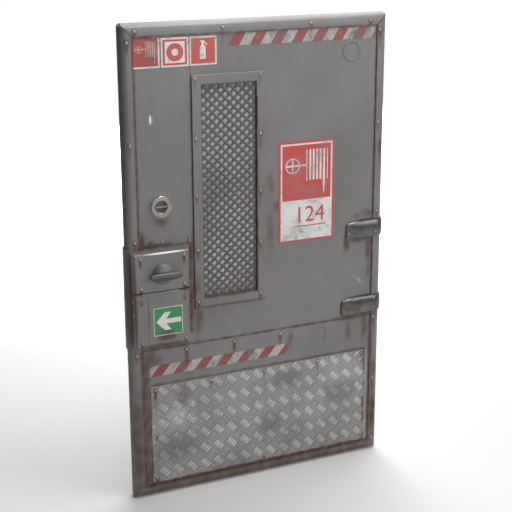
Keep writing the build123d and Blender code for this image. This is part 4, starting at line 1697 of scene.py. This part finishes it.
@dataclass
class Studio:
    """Camera at the photograph's angle, a pale floor and soft light."""

    eye: Place = (-2.81672693, -4.68394963, 1.7850207)
    aim: Place = (-0.66911358, -0.126, 0.30384792)
    roll: float = -0.21473346
    focal_px: float = 1183.4716
    image_px: int = 512
    sensor: float = 36.0
    floor_reach: float = 9.0
    backdrop_way: Place = (0.42, 0.9, 0.1)
    left_sky: Colour = (0.02, 0.02, 0.02)
    right_sky: Colour = (0.3, 0.3, 0.3)
    floor_tone: Colour = (0.78, 0.78, 0.77)

    def build_camera(self) -> None:
        """A camera whose axes come from the line of sight and a small roll."""
        back = (Vector(self.eye) - Vector(self.aim)).normalized()
        across = Vector((0, 0, 1)).cross(back).normalized()
        up = back.cross(across)
        c, s = direction(self.roll)
        right, rise = c * across + s * up, c * up - s * across
        lens = bpy.data.cameras.new("camera")
        lens.sensor_width = self.sensor
        lens.lens = self.focal_px / self.image_px * self.sensor
        camera = bpy.data.objects.new("camera", lens)
        turn = Matrix((right, rise, back)).transposed().to_4x4()
        camera.matrix_world = Matrix.Translation(Vector(self.eye)) @ turn
        bpy.context.scene.collection.objects.link(camera)
        bpy.context.scene.camera = camera

    def build_floor(self, level: float) -> None:
        """A pale floor under the leaf."""
        s = Shader("pale_floor")
        finish = s.surface(base_color=self.floor_tone, roughness=0.9)
        reach = np.array([-self.floor_reach, self.floor_reach])
        floor = Form.grid(together(reach[:, None], reach, level)).build("floor", finish)

    def add_lamp(self, name: str, eye: Place, size: float, watts: float,
                 aim: Place, spread: float = 180.0) -> None:
        """One square soft lamp that looks at a point, with its beam's angle in degrees."""
        lamp = bpy.data.lights.new(name, "AREA")
        lamp.spread = math.radians(spread)
        lamp.size = size
        lamp.energy = watts
        holder = bpy.data.objects.new(name, lamp)
        turn = (Vector(aim) - Vector(eye)).to_track_quat("-Z", "Y").to_matrix().to_4x4()
        holder.matrix_world = Matrix.Translation(Vector(eye)) @ turn
        bpy.context.scene.collection.objects.link(holder)

    def build_light(self) -> None:
        """A wide key, a weak front lamp, one overhead, one along the top rim, one on the floor behind.

        The sky is white behind the door and darker to its left.
        """
        self.add_lamp("key", (1.3, -4.0, 2.0), 2.4, 58.0, self.aim)
        self.add_lamp("front", (-1.4, -4.6, 1.4), 2.0, 42.0, self.aim)
        self.add_lamp("overhead", (0.0, -0.8, 3.4), 1.2, 56.0, self.aim)
        self.add_lamp("top", (0.6, 1.0, 3.8), 2.4, 40.0, (-0.6, -0.1, 1.34), 120.0)
        self.add_lamp("behind", (2.6, 8.0, 7.0), 5.0, 1100.0, (2.6, 7.5, -0.7), 90.0)
        world = bpy.data.worlds.new("studio_sky")
        sky = Graph(world)
        ray = sky.node("ShaderNodeTexCoord").outputs["Generated"]
        toward = sky.node("ShaderNodeVectorMath", {"operation": "DOT_PRODUCT"},
                          {0: ray, 1: self.backdrop_way})
        bright = Value(sky, toward.outputs["Value"]).step(0.45, 0.9)
        split = sky.node("ShaderNodeSeparateXYZ", None, {0: ray})
        side = sky.mix(Value(sky, split.outputs["X"]).step(-0.7, 0.7), self.left_sky, self.right_sky)
        backdrop = sky.node("ShaderNodeBackground", None, {"Color": sky.mix(bright, side, (1.0, 1.0, 1.0))})
        sky.node("ShaderNodeOutputWorld", None, {"Surface": backdrop.outputs[0]})
        bpy.context.scene.world = world
        bpy.context.scene.view_settings.view_transform = "Standard"


# Seams that hold water, in mm on the leaf: both ends, half width and strength, those along the rims first
RIM_SEAMS = 6
SEAMS = (
    (-571, 54, -571, 690, 11, 0.82),
    (-571, 690, -571, 2046, 7, 0.75),
    (571, 54, 571, 700, 12, 0.85),
    (571, 700, 571, 2046, 7, 0.65),
    (-571, 54, 571, 54, 16, 0.9),
    (-571, 2046, 571, 2046, 6, 0.6),
    (-571, 698, 571, 698, 6, 0.75),
    (-571, 1165, -430, 1165, 10, 0.9),
    (-430, 1162, -323, 1160, 5, 0.7),
    (-556, 60, -556, 620, 24, 0.7),
    (-600, 18, 600, 18, 34, 0.62),
    (-541, 533, 541, 533, 6, 0.6),
    (-337, 760, -335, 1150, 12, 0.85),
    (-323, 860, 20, 858, 7, 0.6),
    (-323, 1170, -323, 2030, 5, 0.5),
    (540, 66, 540, 530, 6, 0.7),
    (-20, 900, -20, 1770, 5, 0.75),
    (-279, 901, -20, 901, 5, 0.7),
    (-625, 20, -625, 2080, 15, 0.4),
    (-520, 70, 530, 70, 70, 0.3),
    (571, 2046, 614, 2089, 6, 0.75),
    (-571, 2046, -614, 2089, 6, 0.6),
)

# Rusty patches, in mm on the leaf: middle, half sizes and strength
PATCHES = (
    (-600, 240, 30, 300, 0.7),
    (-560, 1190, 16, 46, 0.95),
    (-520, 1172, 16, 22, 0.8),
    (592, 200, 30, 180, 0.85),
    (598, 400, 14, 80, 0.6),
    (-460, 712, 150, 26, 0.64),
    (-540, 655, 60, 50, 0.55),
    (535, 100, 50, 70, 0.42),
    (83, 1273, 26, 34, 0.5),
    (49, 1167, 22, 120, 0.38),
    (52, 1379, 24, 60, 0.38),
    (-310, 960, 22, 60, 0.55),
    (-305, 810, 26, 70, 0.62),
    (-467, 1272, 34, 36, 0.72),
    (436, 1060, 20, 44, 0.7),
    (500, 1074, 80, 16, 0.62),
    (556, 1030, 18, 76, 0.68),
    (556, 930, 12, 80, 0.5),
    (486, 1190, 20, 12, 0.55),
    (549, 1196, 34, 22, 0.65),
    (500, 704, 110, 24, 0.72),
    (540, 650, 22, 80, 0.66),
    (450, 640, 16, 60, 0.55),
    (150, 640, 14, 60, 0.5),
    (600, 1500, 10, 60, 0.7),
    (-80, 1010, 20, 60, 0.35),
    (470, 2020, 60, 20, 0.45),
    (-100, 2035, 60, 16, 0.5),
    (-520, 2040, 60, 12, 0.7),
    (-470, 776, 50, 40, 0.9),
)

# Length in mm of the rust runs below each row of rivets
RUNS = {"left_rim": 100, "top_rim": 105, "right_rim": 90, "guard": 80, "stile_foot": 36, "lower_sheet": 120,
        "kick_plate": 85, "lock": 40}


def lay_weather(leaf: Leaf, rows: dict[str, tuple[float, np.ndarray]]) -> Weather:
    """Works out where the front rusts, from its rivets, seams and damp places.

    Args:
        leaf: reference places.
        rows: the rivet rows.

    Returns:
        The weather of the front.
    """
    weather = Weather()
    for name, (_, places) in rows.items():
        weather.add_runs(places, 8.5 * MM, RUNS[name] * MM, 0.85)
    weather.seams = [(*leaf.spot(x0, z0), *leaf.spot(x1, z1), width * MM, strength)
                     for x0, z0, x1, z1, width, strength in SEAMS]
    weather.patches = [(*leaf.spot(x, z), half_x * MM, half_z * MM, strength)
                       for x, z, half_x, half_z, strength in PATCHES]
    return weather


def main() -> None:
    """Builds the door's pieces in order, then the studio."""
    logging.basicConfig(level=logging.INFO, format="%(name)s %(message)s")
    leaf = Leaf()
    rivets = Rivets(leaf)
    weather = lay_weather(leaf, rivets.rows())
    smudges = leaf.spots((-387, 470, 60, 90, 1.0), (-420, 225, 150, 100, 0.95), (120, 450, 110, 70, 0.9),
                         (410, 340, 120, 100, 0.9), (30, 250, 90, 70, 0.6))
    # Painted glare on the kick plate's left part: full on the bars, faint on the sheet
    glare = leaf.spots((-414, 362, 80, 80, 1.0))
    faint_glare = leaf.spots((-414, 362, 60, 60, 0.15))
    # Painted highlights: a glint on the knock in the stile sheet, and a light streak along the fold near the
    # lower hinge
    painted_dent_highlights = leaf.spots((-503, 1706, 7, 34, 1.0), (-500, 1704, 24, 32, 0.35),
                         (494, 888, 54, 11, 0.3, -42), (511, 873, 30, 15, 0.37, -42))
    # Glass: a lighter middle, and painted shade along the top and bottom of the opening
    lighter_middle = leaf.spots((-150, 1600, 190, 360, 1.0), (-125, 1200, 180, 340, 0.9))
    painted_shade_edges = leaf.spots((-155, 1842, 260, 40, 1.0), (-155, 895, 220, 60, 0.7))

    paint = WornPaint("grey_door_paint", painted_dent_highlights).material()
    # Both tones, roughness, how readily it rusts, and how metallic it looks
    bolt = WornSteel("rivet_steel", (0.36, 0.355, 0.345), (0.24, 0.232, 0.225), 0.38, -0.03, 0.6).material()
    strap = WornSteel("strap_steel", (0.15, 0.148, 0.147), (0.1, 0.097, 0.095), 0.25, -0.14, 0.75).material()
    boss = WornSteel("boss_steel", (0.17, 0.168, 0.165), (0.14, 0.137, 0.135), 0.5, -0.14, 0.1).material()
    # The grip takes a darker tone than the boss of the same casting: painted shade for its underside
    grip = WornSteel("grip_steel_painted_shade", (0.075, 0.074, 0.073), (0.06, 0.058, 0.057), 0.34, -0.14, 0.3).material()
    dark = WornSteel("blackened_steel", (0.1, 0.1, 0.1), (0.055, 0.053, 0.05), 0.36, -0.08).material()
    bright = WornSteel("satin_steel", (0.5, 0.5, 0.49), (0.36, 0.355, 0.345), 0.28, -0.06).material()
    wire = WornSteel("dull_wire", (0.125, 0.116, 0.111), (0.1, 0.092, 0.088), 0.5, -0.08, 0.1).material()
    rusted = WornSteel("rusted_plug", (0.16, 0.11, 0.09), (0.09, 0.06, 0.05), 0.5, 0.1, 0.3).material()
    pane = CloudedGlass(lighter_middle, painted_shade_edges).material()
    tread = TreadMetal("worn_tread_sheet", (0.31, 0.307, 0.305), (0.16, 0.155, 0.152), 0.42, 0.5,
                       smudges, faint_glare).material()
    # Lit and shaded copies of one bar alloy: the rising bars painted light as if catching the lamp, the
    # falling bars painted darker as if in shade
    bars = {
        Lean.RISING: TreadMetal("painted_lit_tread_bars", (0.95, 0.945, 0.94), (0.33, 0.323, 0.32), 0.25, 0.2,
                                smudges, glare).material(),
        Lean.FALLING: TreadMetal("painted_shaded_tread_bars", (0.46, 0.456, 0.453), (0.24, 0.235, 0.232), 0.3, 0.3,
                                 smudges, glare).material(),
    }

    Skin(leaf, weather).build(paint, WornPaint("back_paint").material())
    guard = VisionGuard(weather)
    guard.build_frame(paint)
    guard.build_wires(wire)
    dress("vision_glass", pane, Slot.PANE)
    KickPlate(leaf, weather, rivets).build(tread, bars)
    rivets.build(bolt)
    Signs(leaf, weather).build()
    Lock(leaf, rivets).build(bolt, rusted)
    Handle().build(boss, grip, bright)
    KeyTurn().build(paint, bright, rusted, bolt)
    Hinges(leaf).build(strap, bolt, dark, bright)

    studio = Studio()
    studio.build_camera()
    studio.build_floor(leaf.low)
    studio.build_light()


if __name__ == "__main__":
    main()
